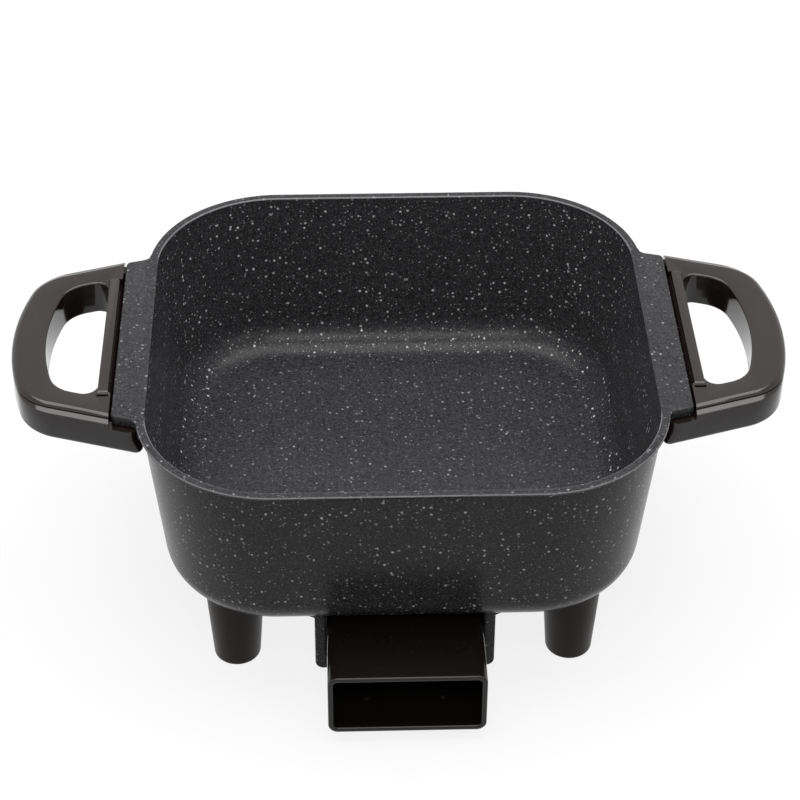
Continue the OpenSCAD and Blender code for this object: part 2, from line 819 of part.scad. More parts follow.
placed() pan_body();
placed() heating_element();
placed() terminal_pin(-pin_x);  // terminal_pin_left
placed() terminal_pin(pin_x);  // terminal_pin_right
placed() insulator(-pin_x);  // insulator_left
placed() insulator(pin_x);  // insulator_right
placed() probe_sleeve();
placed() socket_shroud();
placed() shroud_screws();
placed() mirror([1, 0, 0]) handle();  // handle_left
placed() handle();  // handle_right
placed() mirror([1, 0, 0]) handle_screws();  // handle_screws_left
placed() handle_screws();  // handle_screws_right
placed() mirror([1, 0, 0]) lid_prop();  // lid_prop_left
placed() lid_prop();  // lid_prop_right
placed() mirror([1, 0, 0]) lid_prop_pin();  // lid_prop_pin_left
placed() lid_prop_pin();  // lid_prop_pin_right
placed() rotate(180) leg();  // leg_front_left
placed() rotate(270) leg();  // leg_front_right
placed() rotate(90) leg();  // leg_rear_left
placed() leg();  // leg_rear_right
placed() leg_screws();
placed() rotate(180) foot_pad();  // foot_pad_front_left
placed() rotate(270) foot_pad();  // foot_pad_front_right
placed() rotate(90) foot_pad();  // foot_pad_rear_left
placed() foot_pad();  // foot_pad_rear_right
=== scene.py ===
"""Electric skillet: a speckled square pan on four legs, with loop handles and an inlet shroud.

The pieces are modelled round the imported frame, in metres, with +Z up and the front at -Y.
"""

import json
import math

import bmesh
import bpy
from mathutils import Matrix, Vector


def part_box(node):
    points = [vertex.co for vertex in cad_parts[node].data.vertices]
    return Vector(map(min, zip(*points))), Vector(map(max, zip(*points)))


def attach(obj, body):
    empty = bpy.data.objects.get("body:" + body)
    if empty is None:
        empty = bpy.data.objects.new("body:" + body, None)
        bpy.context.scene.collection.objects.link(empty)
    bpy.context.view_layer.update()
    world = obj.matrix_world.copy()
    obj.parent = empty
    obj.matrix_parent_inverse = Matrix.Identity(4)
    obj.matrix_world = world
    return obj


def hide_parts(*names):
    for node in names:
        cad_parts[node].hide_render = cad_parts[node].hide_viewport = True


bl_info = {
    "name": "Electric Skillet",
    "version": (1, 0, 0),
    "blender": (4, 5, 0),
    "location": "View3D > Sidebar > Skillet",
    "description": "Models and dresses an electric skillet round its packed frame",
    "category": "Object",
}

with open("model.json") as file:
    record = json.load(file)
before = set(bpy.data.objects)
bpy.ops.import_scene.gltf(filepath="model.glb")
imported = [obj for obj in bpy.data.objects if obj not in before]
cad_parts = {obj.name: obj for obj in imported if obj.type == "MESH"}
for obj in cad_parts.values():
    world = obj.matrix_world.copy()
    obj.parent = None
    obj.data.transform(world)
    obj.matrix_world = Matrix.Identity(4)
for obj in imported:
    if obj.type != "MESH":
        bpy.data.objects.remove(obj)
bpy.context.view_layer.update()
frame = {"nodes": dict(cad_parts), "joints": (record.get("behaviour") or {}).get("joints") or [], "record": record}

MM = 0.001
BODY = "skillet"
# Overrun of cutters past the faces that they cut, and reach of rough tests of place
OVER = 1 * MM
# Reach of close tests of place, for bevelled edges and for edges that lie exactly there
NEAR = 0.1 * MM
TOUCH = 0.01 * MM
# Least cosine at which an edge runs along an axis, and at which a face looks along it
STRAIGHT = 0.999
FACING = 0.99
# Least angle in radians between the two faces at a sharp edge
SHARP = 1
# Distance within which a finished piece's doubles are merged, and angle up to which it is shaded smooth
WELD = 0.001 * MM
SMOOTH_ANGLE = math.radians(35)
# Sides of round bars and holes, and of the thin holes for pivot pins
ROD_SIDES = 48
PIN_SIDES = 24

PAN_LOW, PAN_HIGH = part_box("pan_body")
HANDLE_LOW, HANDLE_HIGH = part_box("handle_right")
PROP_LOW, PROP_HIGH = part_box("lid_prop_right")
LEG_LOW, LEG_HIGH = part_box("leg_rear_right")
SHROUD_LOW, SHROUD_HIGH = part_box("socket_shroud")
HINGE = next(j for j in frame["joints"] if j["child"] == "lid_prop_right")

RIM_Z = PAN_HIGH.z
RIM_HALF = (PAN_HIGH.y - PAN_LOW.y) / 2
MIDDLE_Y = (PAN_HIGH.y + PAN_LOW.y) / 2
EAR_X = PAN_HIGH.x


def linear(code):
    """Turns an sRGB hex colour into linear red, green and blue."""
    channels = [int(code[k:k + 2], 16) / 255 for k in (1, 3, 5)]
    return tuple(c / 12.92 if c <= 0.04045 else ((c + 0.055) / 1.055) ** 2.4 for c in channels)


def length(name, description, millimetres):
    """A size that shows in the sidebar."""
    return bpy.props.FloatProperty(
        name=name, description=description, default=millimetres * MM, unit="LENGTH", precision=4)


def angle(name, description, degrees):
    """An angle that shows in the sidebar."""
    return bpy.props.FloatProperty(
        name=name, description=description, default=math.radians(degrees), subtype="ANGLE")


def colour(name, description, code):
    """A colour that shows in the sidebar."""
    return bpy.props.FloatVectorProperty(
        name=name, description=description, default=linear(code), subtype="COLOR", min=0, max=1)


class PanSizes(bpy.types.PropertyGroup):
    """Sizes of the cast pan."""

    base: length("Base height", "Height of the pan's underside", 49.5)
    corner: length("Corner radius", "Radius of the rim's corners, seen from above", 76)
    wall: length("Wall", "Thickness of the wall", 2.2)
    floor: length("Floor", "Thickness of the floor", 5)
    draft: angle("Draft", "Slope of the wall from upright", 6)
    bend: length("Bend radius", "Outer radius between wall and underside", 24)
    lip: length("Lip", "How far the rim stands out from the wall", 2.8)
    lip_thick: length("Lip thickness", "Thickness of the rim", 2.4)
    lip_edge: length("Lip edge", "Radius of the rim's outer upper edge", 0.8)
    lip_lean: angle("Lip lean", "How far the rim's face leans in below that edge", 35)
    rim_edge: length("Rim edge", "Radius of the rim's inner edge", 1.2)
    ear_thick: length("Ear thickness", "Thickness of the side ears", 6.2)
    ear_length: length("Ear length", "Length of an ear's outer edge", 149)
    ear_slope: angle("Ear slope", "Slope of the ears' ends", 15)
    ear_corner: length("Ear corner", "Radius of the ears' outer corners, seen from above", 2.4)
    ear_edge: length("Ear edge", "Radius of the ears' edges", 1.3)
    ear_fillet: length("Ear fillet", "Radius where an ear's end runs into the rim", 4)
    lug_wide: length("Lug width", "Width of the lugs beside the shroud", 6.5)
    lug_deep: length("Lug depth", "Depth of the lugs from front to back", 10)
    lug_lift: length("Lug lift", "Height of the lugs' ends above the shroud's underside", 5)
    lug_gap: length("Lug gap", "Gap between a lug and the shroud", 0.3)
    lug_corner: length("Lug corner", "Radius of a lug's lower outer corner", 4.5)
    lug_edge: length("Lug edge", "Radius of the lugs' front edges", 1.2)
    flare_wide: length("Flare width", "Width of the flare at a lug's root", 8)
    flare_high: length("Flare height", "Height of the flare at a lug's root", 4.5)
    rib_wide: length("Rib width", "Width of the rib that holds the heating tube", 14)
    rib_high: length("Rib height", "Height of the rib that holds the heating tube", 5)
    loop_half: length("Loop", "Half of the width of the heating tube's loop", 71)
    loop_bend: length("Loop bend", "Bend radius of the loop's corners", 27)
    turn_bend: length("Turn bend", "Bend radius where the tube turns to the front", 12)
    boss_wide: length("Boss width", "Width of the boss that holds the probe sleeve", 17)
    boss_set: length("Boss set", "Distance of that boss behind the shroud", 3)
    sleeve_gap: length("Sleeve gap", "Radial clearance of the probe sleeve in its boss", 0.05)


class HandleSizes(bpy.types.PropertyGroup):
    """Sizes of the handles and of the lid props in them."""

    slope: angle("Side slope", "Slope of the handles' sides", 18)
    seam: length("Seam", "Gap between an ear and the top of its handle", 1.2)
    wall_gap: length("Wall gap", "Gap between the pan's wall and a handle's inner end", 1)
    corner: length("Corner radius", "Radius of the outer corners, seen from above", 31)
    inner_corner: length("Inner corner", "Radius of the inner corners, seen from above", 6)
    bow: length("Bow radius", "Radius of the outer side's bow", 160)
    grip: length("Grip", "Width between the finger hole and the outer side", 19.5)
    arm: length("Arm", "Width beside the finger hole", 19)
    hole_corner: length("Hole corner", "Radius of the hole's outer corners", 19)
    hole_inner: length("Hole inner corner", "Radius of the hole's inner corners", 7)
    hole_edge: length("Hole distance", "Distance from the seam to the hole", 7.9)
    hole_round: length("Hole edge radius", "Radius of the hole's edges", 1.3)
    step_in: length("Step", "How far the sides stand out from the top", 4)
    step_high: length("Step height", "Height of that step", 1.9)
    reveal: length("Reveal", "Width and depth of the groove at the foot of that step", 0.7)
    under: length("Lower edge", "Radius of the lower edges", 3)
    ledge_high: length("Ledge height", "Height of the slope at the foot of the step", 1.1)
    crest_wide: length("Crest width", "Width of the slope round the top", 2.4)
    crest_high: length("Crest height", "Height of the slope round the top", 1.2)
    softening: length("Softening", "Bevel on the corners of those slopes", 0.25)
    fade: bpy.props.FloatProperty(
        name="Step fade", description="Share of the step that is lost on the outer side", default=0.85,
        subtype="FACTOR", min=0, max=0.95)
    toe_high: length("Toe height", "Height of the toe that reaches in to the pan's wall", 9)
    toe_round: length("Toe corner", "Radius of the toe's corners beyond the lower edges' radius", 1)
    screw_recess: length("Screw recess", "Diameter of the recesses for the screws' heads", 7.9)
    screw_deep: length("Recess depth", "Depth of the recesses for the screws' heads", 3.2)
    prop_gap: length("Prop gap", "Clearance beside and under a lid prop", 0.4)
    prop_slit: length("Prop slit", "Extra clearance on the side of the pan", 1)
    prop_under: length("Prop under", "Thickness of a lid prop under its pivot", 1.6)
    pocket_gap: length("Pocket gap", "Room round a lid prop's eye", 2.2)
    open_over: length("Open overrun", "Overrun of the prop's open side past the hole's straight edge", 2)
    prop_extra: length("Prop extra", "Extra width of a lid prop on the side of the pan", 1.1)
    strip_drop: length("Strip drop", "How far the strip beside a lid prop lies below the top", 2)
    seam_deep: length("Seam depth", "Depth of the gutter under the seam", 4)
    seam_end: length("Seam end", "Distance of that gutter's ends from the handle's sides", 3)
    prop_edge: length("Prop edge", "Radius of a lid prop's edges", 0.5)
    prop_pin: length("Prop pin", "Diameter of a lid prop's pivot hole", 2.1)


class LegSizes(bpy.types.PropertyGroup):
    """Sizes of the legs."""

    taper: angle("Taper", "Taper of a leg's side", 4)
    foot: length("Foot", "Diameter at the table", 26.4)
    edge: length("Edge", "Radius of the edge round the foot", 2.6)
    recess: length("Recess", "Diameter of the recess for the foot pad", 18.1)
    recess_deep: length("Recess depth", "Depth of the recess for the foot pad", 2.6)
    well: length("Well", "Diameter of the well for the screw", 10.4)
    well_deep: length("Well depth", "Depth of the well above the recess", 32.1)
    gap: length("Gap", "Gap between a leg's top and the pan", 0.25)


class InletSizes(bpy.types.PropertyGroup):
    """Sizes of the shroud round the terminals."""

    wide: length("Width", "Width of the shroud", 88)
    wall: length("Wall", "Wall of the shroud", 3.2)
    corner: length("Corner radius", "Outer corner radius of the shroud", 5.5)
    rear: length("Rear wall", "Thickness of the rear wall and flanges", 3)
    mouth_edge: length("Mouth edge", "Radius of the edges round the mouth", 1.1)
    flange_corner: length("Flange corner", "Radius of the flanges' corners", 2.826)
    pin_hole: length("Pin hole", "Diameter of the holes for the terminal pins", 6.5)
    sleeve_hole: length("Sleeve hole", "Diameter of the hole for the probe sleeve", 10.5)


class Finishes(bpy.types.PropertyGroup):
    """Colours of the surfaces."""

    coating: colour("Coating", "Charcoal ground of the pan's coating", "#343335")
    fleck: colour("Flecks", "Pale flecks in the coating", "#dcdcde")
    phenolic: colour("Handle phenolic", "Moulded handles", "#1a1311")
    leg: colour("Leg phenolic", "Moulded legs", "#17100d")
    shroud: colour("Shroud phenolic", "Moulded shroud", "#14110f")
    enamel: colour("Prop enamel", "Enamelled lid props", "#1a1311")
    rubber: colour("Foot rubber", "Foot pads", "#1c1c1c")
    steatite: colour("Steatite", "Insulators of the terminals", "#d9d0bf")
    steel: colour("Steel", "Bright steel pins and screws", "#b9b9b9")
    blackened: colour("Blackened steel", "Pivot pins of the lid props", "#4a4846")
    sheath: colour("Sheath", "Heating tube dulled by heat", "#8a837c")


# Modelling helpers


def start_clean():
    """Leaves edit mode and selects nothing, so that the next operator acts on its own piece alone."""
    if bpy.context.object and bpy.context.object.mode != "OBJECT":
        bpy.ops.object.mode_set(mode="OBJECT")
    bpy.ops.object.select_all(action="DESELECT")


def apply_place():
    """Moves the active object's place into its mesh."""
    bpy.ops.object.transform_apply(location=True, rotation=True, scale=True)
    return bpy.context.object


def add_box(low, high):
    """A block between two corners."""
    start_clean()
    low, high = Vector(low), Vector(high)
    bpy.ops.mesh.primitive_cube_add(size=1, location=(low + high) / 2, scale=high - low)
    return apply_place()


def add_rod(radius, start, end, sides=ROD_SIDES):
    """A round bar between two points on a line along one axis."""
    start_clean()
    start, end = Vector(start), Vector(end)
    run = end - start
    bpy.ops.mesh.primitive_cylinder_add(
        vertices=sides, radius=radius, depth=run.length, location=(start + end) / 2,
        rotation=run.to_track_quat("Z", "Y").to_euler())
    return apply_place()


def add_stack(rings):
    """A solid through a stack of (outline, height) rings, drawn up by extruding the first one's face."""
    start_clean()
    outline, height = rings[0]
    bpy.ops.mesh.primitive_circle_add(vertices=len(outline), fill_type="NGON")
    piece = apply_place()
    for vertex, point in zip(piece.data.vertices, outline):
        vertex.co = (*point, height)
    bpy.ops.object.mode_set(mode="EDIT")
    bpy.ops.mesh.select_all(action="SELECT")
    for (before, _), (after, height) in zip(rings, rings[1:]):
        bpy.ops.mesh.extrude_region_move()
        mesh = bmesh.from_edit_mesh(piece.data)
        for vertex in [v for v in mesh.verts if v.select]:
            place = min(range(len(before)), key=lambda k: (vertex.co.xy - Vector(before[k])).length)
            vertex.co = (*after[place], height)
        bmesh.update_edit_mesh(piece.data)
    bpy.ops.mesh.select_all(action="SELECT")
    bpy.ops.mesh.normals_make_consistent(inside=False)
    bpy.ops.object.mode_set(mode="OBJECT")
    return piece


def pick(piece, test, kind):
    """Selects, in edit mode, the faces or edges that pass a test of place or normal."""
    bpy.context.tool_settings.mesh_select_mode = (False, kind == "edges", kind == "faces")
    bpy.ops.mesh.select_all(action="DESELECT")
    mesh = bmesh.from_edit_mesh(piece.data)
    mesh.normal_update()
    for element in getattr(mesh, kind):
        if test(element):
            element.select_set(True)
    mesh.select_flush_mode()
    bmesh.update_edit_mesh(piece.data)


def middle(edge):
    """Middle of an edge."""
    return (edge.verts[0].co + edge.verts[1].co) / 2


def along(edge, axis):
    """Whether an edge runs along an axis."""
    run = (edge.verts[1].co - edge.verts[0].co).normalized()
    return abs(run[axis]) > STRAIGHT


def round_edges(piece, test, radius, segments):
    """Rounds the edges that pass a test."""
    bpy.context.view_layer.objects.active = piece
    bpy.ops.object.mode_set(mode="EDIT")
    pick(piece, test, "edges")
    bpy.ops.mesh.bevel(offset=radius, segments=segments, profile=0.5, affect="EDGES")
    bpy.ops.object.mode_set(mode="OBJECT")


def draw_in(piece, up, profile):
    """Draws the top or bottom face in along a profile of (distance inwards, height) points."""
    sign = 1 if up else -1
    bpy.context.view_layer.objects.active = piece
    bpy.ops.object.mode_set(mode="EDIT")
    pick(piece, lambda f: f.normal.z * sign > FACING, "faces")
    for (d0, z0), (d1, z1) in zip(profile, profile[1:]):
        bpy.ops.mesh.inset(thickness=d1 - d0, depth=0, use_even_offset=True)
        bpy.ops.transform.translate(value=(0, 0, z1 - z0))
    bpy.ops.object.mode_set(mode="OBJECT")


def combine(piece, other, operation):
    """Joins another solid to a piece, or cuts it away, and removes the other solid."""
    modifier = piece.modifiers.new(operation.title(), "BOOLEAN")
    modifier.operation = operation
    modifier.solver = "EXACT"
    modifier.object = other
    start_clean()
    bpy.context.view_layer.objects.active = piece
    bpy.ops.object.modifier_apply(modifier=modifier.name)
    bpy.data.objects.remove(other)


def add_wedge(low, high, rise):
    """A block between two corners, with its lower edge on the side of +X lifted."""
    wedge = add_box(low, high)
    centre = (Vector(low) + Vector(high)) / 2
    bpy.ops.object.mode_set(mode="EDIT")
    pick(wedge, lambda e: along(e, 1) and middle(e).x > centre.x and middle(e).z < centre.z, "edges")
    bpy.ops.transform.translate(value=(0, 0, rise))
    bpy.ops.object.mode_set(mode="OBJECT")
    return wedge


def mirror_copy(piece, axis):
    """A copy with its own mesh, mirrored in the plane through the pan's middle, square to X or Y."""
    start_clean()
    piece.select_set(True)
    bpy.context.view_layer.objects.active = piece
    bpy.ops.object.duplicate(linked=False)
    mirrored = bpy.context.object
    bpy.ops.object.mode_set(mode="EDIT")
    bpy.ops.mesh.select_all(action="SELECT")
    flip = [-1 if k == axis else 1 for k in range(3)]
    bpy.ops.transform.resize(value=flip, center_override=(0, MIDDLE_Y, 0))
    bpy.ops.mesh.flip_normals()
    bpy.ops.object.mode_set(mode="OBJECT")
    return mirrored


def settle(piece, name, body, node, material):
    """Names a finished piece, smooths it, dresses it and puts it in place of its CAD node."""
    start_clean()
    bpy.context.view_layer.objects.active = piece
    piece.select_set(True)
    bpy.ops.object.mode_set(mode="EDIT")
    bpy.ops.mesh.select_all(action="SELECT")
    bpy.ops.mesh.remove_doubles(threshold=WELD)
    bpy.ops.object.mode_set(mode="OBJECT")
    bpy.ops.object.shade_smooth_by_angle(angle=SMOOTH_ANGLE)
    piece.name = name
    piece.data.name = name
    piece.data.materials.clear()
    piece.data.materials.append(material)
    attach(piece, body)
    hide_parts(node)


def arc(centre, radius, start, end, count):
    """Points of an arc, both ends included."""
    turns = [start + (end - start) * k / count for k in range(count + 1)]
    return [(centre[0] + radius * math.cos(a), centre[1] + radius * math.sin(a)) for a in turns]


# Materials


def add_node(tree, kind, values=None, links=None, **settings):
    """Adds a node with its settings, its socket values and its links."""
    node = tree.nodes.new(kind)
    for key, value in settings.items():
        setattr(node, key, value)
    for socket, value in (values or {}).items():
        node.inputs[socket].default_value = value
    for socket, source in (links or {}).items():
        tree.links.new(source, node.inputs[socket])
    return node


def new_material(name):
    """An empty material, its node tree and its Object coordinates."""
    material = bpy.data.materials.get(name) or bpy.data.materials.new(name)
    material.use_nodes = True
    tree = material.node_tree
    tree.nodes.clear()
    return material, tree, add_node(tree, "ShaderNodeTexCoord").outputs["Object"]


def add_surface(tree, values, links):
    """Ends a material with its shader and its output."""
    shader = add_node(tree, "ShaderNodeBsdfPrincipled", values, links)
    add_node(tree, "ShaderNodeOutputMaterial", links={"Surface": shader.outputs["BSDF"]})


def per_mm(size):
    """Texture scale at which one cell of a pattern measures the given millimetres."""
    return 1 / (size * MM)


def tinted(rgb, share=1):
    """A colour dimmed or lifted by a share, with full alpha."""
    return (*(c * share for c in rgb), 1)


def drift(tree, place, size, detail, data_type, first, second):
    """A colour or a value that drifts between two, in patches of the given size in mm."""
    patches = add_node(
        tree, "ShaderNodeTexNoise", {"Scale": per_mm(size), "Detail": detail}, {"Vector": place})
    mix = add_node(
        tree, "ShaderNodeMix", {"A": first, "B": second}, {"Factor": patches.outputs["Fac"]},
        data_type=data_type)
    return mix.outputs["Result"]


def relief(tree, place, size, detail, strength, deep):
    """A bumpy skin with grains of the given size and depth in mm."""
    grains = add_node(
        tree, "ShaderNodeTexNoise", {"Scale": per_mm(size), "Detail": detail}, {"Vector": place})
    bump = add_node(
        tree, "ShaderNodeBump", {"Strength": strength, "Distance": deep * MM},
        {"Height": grains.outputs["Fac"]})
    return bump.outputs["Normal"]


# Cell size and ball radius of the flecks in mm, share of the cells that hold a ball, and strength
FLECKS = ((1.4, 0.38, 0.8, 0.24), (2.5, 0.58, 0.38, 0.75), (4.2, 0.94, 0.4, 1))
# Share of a ball's radius within which its colour is even, and its least strength
FLECK_CORE = 0.55
FLECK_LEAST = 0.5
# Greatest shift of the flecks' edges, which makes the discs uneven
FLECK_WANDER = 0.6 * MM
# Heights between which the walls lie, and strength of the flecks on the flat faces beyond them, dimmed there as
# painted shade
WALLS_LOW = 55 * MM
WALLS_HIGH = 155 * MM
FLAT_SHARE = 0.36
# Painted highlight along the rim's upper edges: its depth under the rim's top, half its height, its reach past the
# rim, and strength
RIM_GLINT_DROP = 0.42 * MM
RIM_GLINT_HALF = 0.33 * MM
RIM_GLINT_REACH = 0.3 * MM
RIM_GLINT_SHARE = 0.22
# Size in mm at which the spray's grain is drawn, because its own is too fine to show
SPRAY_GRAIN = 0.9


def gritty_ground(tree, place, rgb):
    """Soft clouds of the coat's colour, with a fine grit of darker and paler grains."""
    clouds = drift(tree, place, 38, 3, "RGBA", tinted(rgb, 0.86), tinted(rgb))
    grit = add_node(tree, "ShaderNodeTexNoise", {"Scale": per_mm(1.5), "Detail": 3}, {"Vector": place})
    shade = add_node(
        tree, "ShaderNodeMapRange", {"From Min": 0.3, "From Max": 0.7, "To Min": 0.45, "To Max": 1.55},
        {"Value": grit.outputs["Fac"]})
    ground = add_node(
        tree, "ShaderNodeVectorMath", links={0: clouds, "Scale": shade.outputs["Result"]},
        operation="SCALE")
    return ground.outputs["Vector"]


def speckle(tree, place, height, surface, pale):
    """Lays pale flecks of three sizes over a colour.

    The flecks are balls in space that the surface cuts, so that their discs vary in size.
    """
    walls = add_node(
        tree, "ShaderNodeMath", {1: (WALLS_LOW + WALLS_HIGH) / 2, 2: (WALLS_HIGH - WALLS_LOW) / 2},
        {0: height}, operation="COMPARE")
    # Flecks on the flat faces are dimmed: painted shade against the stronger light that falls there
    fleck_shade_share = add_node(
        tree, "ShaderNodeMapRange", {"To Min": FLAT_SHARE, "To Max": 1}, {"Value": walls.outputs["Value"]})
    wander = add_node(tree, "ShaderNodeTexNoise", {"Scale": per_mm(1.3), "Detail": 2}, {"Vector": place})
    bent = add_node(
        tree, "ShaderNodeMixRGB", {"Fac": FLECK_WANDER},
        {"Color1": place, "Color2": wander.outputs["Color"]})
    for cell, radius, share, strength in FLECKS:
        cells = add_node(
            tree, "ShaderNodeTexVoronoi", {"Scale": per_mm(cell)}, {"Vector": bent.outputs["Color"]})
        ball = add_node(
            tree, "ShaderNodeMapRange",
            {"From Min": radius / cell, "From Max": FLECK_CORE * radius / cell, "To Max": strength},
            {"Value": cells.outputs["Distance"]})
        split = add_node(tree, "ShaderNodeSeparateColor", links={"Color": cells.outputs["Color"]})
        held = add_node(
            tree, "ShaderNodeMath", {1: share}, {0: split.outputs["Red"]}, operation="LESS_THAN")
        shade = add_node(
            tree, "ShaderNodeMapRange", {"To Min": FLECK_LEAST, "To Max": 1},
            {"Value": split.outputs["Green"]})
        amount = ball.outputs["Result"]
        for factor in (held.outputs["Value"], shade.outputs["Result"], fleck_shade_share.outputs["Result"]):
            product = add_node(tree, "ShaderNodeMath", links={0: amount, 1: factor}, operation="MULTIPLY")
            amount = product.outputs["Value"]
        mixed = add_node(
            tree, "ShaderNodeMix", {"B": pale}, {"Factor": amount, "A": surface}, data_type="RGBA")
        surface = mixed.outputs["Result"]
    return surface


def paint_rim_highlight(tree, across, height, surface, pale):
    """Paints a pale line along the rim's upper edges: a painted highlight that stands in for the lamps' glint on
    the lip's rounded edge.
    """
    edge = add_node(
        tree, "ShaderNodeMath", {1: RIM_Z - RIM_GLINT_DROP, 2: RIM_GLINT_HALF}, {0: height}, operation="COMPARE")
    rim = add_node(
        tree, "ShaderNodeMath", {1: 0, 2: RIM_HALF + RIM_GLINT_REACH}, {0: across}, operation="COMPARE")
    both = add_node(
        tree, "ShaderNodeMath", links={0: edge.outputs["Value"], 1: rim.outputs["Value"]},
        operation="MULTIPLY")
    glint_amount = add_node(
        tree, "ShaderNodeMath", {1: RIM_GLINT_SHARE}, {0: both.outputs["Value"]}, operation="MULTIPLY")
    highlighted = add_node(
        tree, "ShaderNodeMix", {"B": pale}, {"Factor": glint_amount.outputs["Value"], "A": surface},
        data_type="RGBA")
    return highlighted.outputs["Result"]


def stone_coating(finishes):
    """Sprayed non-stick coat on die-cast aluminium.

    A satin, gritty charcoal ground with pale flecks. On the flat faces, which lie above and below
    the walls, the flecks are dimmed as painted shade, against the stronger light on those faces.
    """
    material, tree, place = new_material("stone_coating")
    axes = add_node(tree, "ShaderNodeSeparateXYZ", links={"Vector": place})
    across, height = axes.outputs["X"], axes.outputs["Z"]
    pale = tinted(finishes.fleck)
    ground = gritty_ground(tree, place, finishes.coating)
    speckled = speckle(tree, place, height, ground, pale)
    # The colour carries a painted highlight, a pale line along the rim's upper edges
    add_surface(tree, {"Specular IOR Level": 0.14}, {
        "Base Color": paint_rim_highlight(tree, across, height, speckled, pale),
        "Roughness": drift(tree, place, SPRAY_GRAIN, 4, "FLOAT", 0.19, 0.33),
        "Normal": relief(tree, place, SPRAY_GRAIN, 4, 0.25, 0.05)})
    return material


def dark_skin(name, rgb, rough, specular):
    """Opaque dark surface with a faint mottle, a polish that wanders and a slightly uneven skin."""
    material, tree, place = new_material(name)
    add_surface(tree, {"Specular IOR Level": specular}, {
        "Base Color": drift(tree, place, 2.2, 5, "RGBA", tinted(rgb), tinted(rgb, 1.3)),
        "Roughness": drift(tree, place, 14, 3, "FLOAT", *rough),
        "Normal": relief(tree, place, 0.8, 2, 0.12, 0.02)})
    return material


def phenolic(name, rgb, rough, specular):
    """Compression-moulded phenolic resin.

    Brown-black, mottled by its wood-flour filler, with a skin that copies the mould's polish.
    """
    return dark_skin(name, rgb, rough, specular)


def enamel(name, rgb):
    """Stoved enamel on steel: it flows out to an even gloss that is a little softer than the handles'."""
    return dark_skin(name, rgb, (0.16, 0.26), 0.45)


def metal(name, rgb, grain, rough):
    """Drawn or turned metal, with a fine grain in its polish and a cloudy tarnish."""
    material, tree, place = new_material(name)
    add_surface(tree, {"Metallic": 1}, {
        "Base Color": drift(tree, place, 9, 2, "RGBA", tinted(rgb), tinted(rgb, 0.72)),
        "Roughness": drift(tree, place, grain, 3, "FLOAT", *rough)})
    return material


def dull(name, rgb, grain, roughness):
    """Unglazed steatite or moulded rubber, with a fine grain and no gloss."""
    material, tree, place = new_material(name)
    add_surface(tree, {"Roughness": roughness}, {
        "Base Color": drift(tree, place, grain, 4, "RGBA", tinted(rgb), tinted(rgb, 0.8)),
        "Normal": relief(tree, place, grain, 4, 0.3, 0.05)})
    return material


# Pan


# Segments of the rim's corners, of bends, of small edge radii and of the smallest ones
CORNER_STEPS = 28
BEND_STEPS = 12
EDGE_STEPS = 4
TRIM_STEPS = 3
# Share of half a width that a bevel takes to round a whole end, just short of closing it
FULL_ROUND = 0.98
# How far an ear's neck, its tail and its root lie inside the rim and the wall that they join
NECK_SINK = 0.2 * MM
TAIL_SINK = 0.3 * MM
ROOT_SINK = 1.2 * MM
# Length of an ear's tail along the rim, in fillet radii
TAIL_RUN = 2.5


def wall_line(sizes, gap, floor_z, bend, top):
    """Profile of the wall from a height down to the floor, set in by gap, with a bend at its foot."""
    slope = sizes.draft
    bend_z = floor_z + bend

    def inwards(z):
        return sizes.lip + (RIM_Z - z) * math.tan(slope) + gap / math.cos(slope)

    bend_d = inwards(bend_z) + bend / math.cos(slope)
    foot = arc((bend_d, bend_z), bend, math.pi + slope, 1.5 * math.pi, BEND_STEPS)
    return [(inwards(top), top)] + foot


def add_rim_block(sizes, low, high):
    """A thin block with the rim's outline."""
    block = add_box((-RIM_HALF, MIDDLE_Y - RIM_HALF, low), (RIM_HALF, MIDDLE_Y + RIM_HALF, high))
    round_edges(block, lambda e: along(e, 2), sizes.corner, CORNER_STEPS)
    return block


def add_bowl(sizes):
    """The pan without its ears and lugs: rim, wall and floor as one closed shell."""
    radius = sizes.lip_edge
    high = RIM_Z - radius
    low = high - radius / EDGE_STEPS
    foot = RIM_Z - sizes.lip_thick
    bowl = add_rim_block(sizes, low, high)
    lip_low = [(0, low), ((low - foot) * math.tan(sizes.lip_lean), foot)]
    draw_in(bowl, False, lip_low + wall_line(sizes, 0, sizes.base, sizes.bend, foot))
    lip_high = arc((radius, high), radius, math.pi, 0.5 * math.pi, EDGE_STEPS)
    inner = wall_line(sizes, sizes.wall, sizes.base + sizes.floor, sizes.bend - sizes.wall,
                      RIM_Z - sizes.rim_edge)
    edge = arc((inner[0][0] - sizes.rim_edge, RIM_Z - sizes.rim_edge), sizes.rim_edge,
               0.5 * math.pi, 0, EDGE_STEPS)
    draw_in(bowl, True, lip_high + edge + inner[1:])
    return bowl


def add_ear(sizes):
    """Right-hand ear: a flat tongue with rounded edges, rooted in the rim."""
    half = sizes.ear_length / 2
    root_x = RIM_HALF - sizes.lip - sizes.wall / 2
    neck_x = RIM_HALF - NECK_SINK
    neck_y = half + (EAR_X - neck_x) * math.tan(sizes.ear_slope)
    tail_y = neck_y + TAIL_RUN * sizes.ear_fillet
    low = RIM_Z - sizes.ear_thick
    corner_c = RIM_HALF - sizes.corner
    tail_x = corner_c + math.sqrt((sizes.corner - TAIL_SINK) ** 2 - (tail_y - corner_c) ** 2)
    right = [(EAR_X, half), (neck_x, neck_y), (tail_x, tail_y), (root_x - ROOT_SINK, tail_y)]
    outline = [(x, MIDDLE_Y - y) for x, y in reversed(right)] + [(x, MIDDLE_Y + y) for x, y in right]
    ear = add_stack([(outline, low), (outline, RIM_Z)])
    round_edges(ear, lambda e: along(e, 2) and middle(e).x > EAR_X - OVER, sizes.ear_corner, EDGE_STEPS)
    round_edges(
        ear, lambda e: along(e, 2) and abs(middle(e).x - neck_x) < NEAR, sizes.ear_fillet, EDGE_STEPS)
    round_edges(ear, lambda e: not along(e, 2) and middle(e).x > neck_x, sizes.ear_edge, EDGE_STEPS)
    return ear


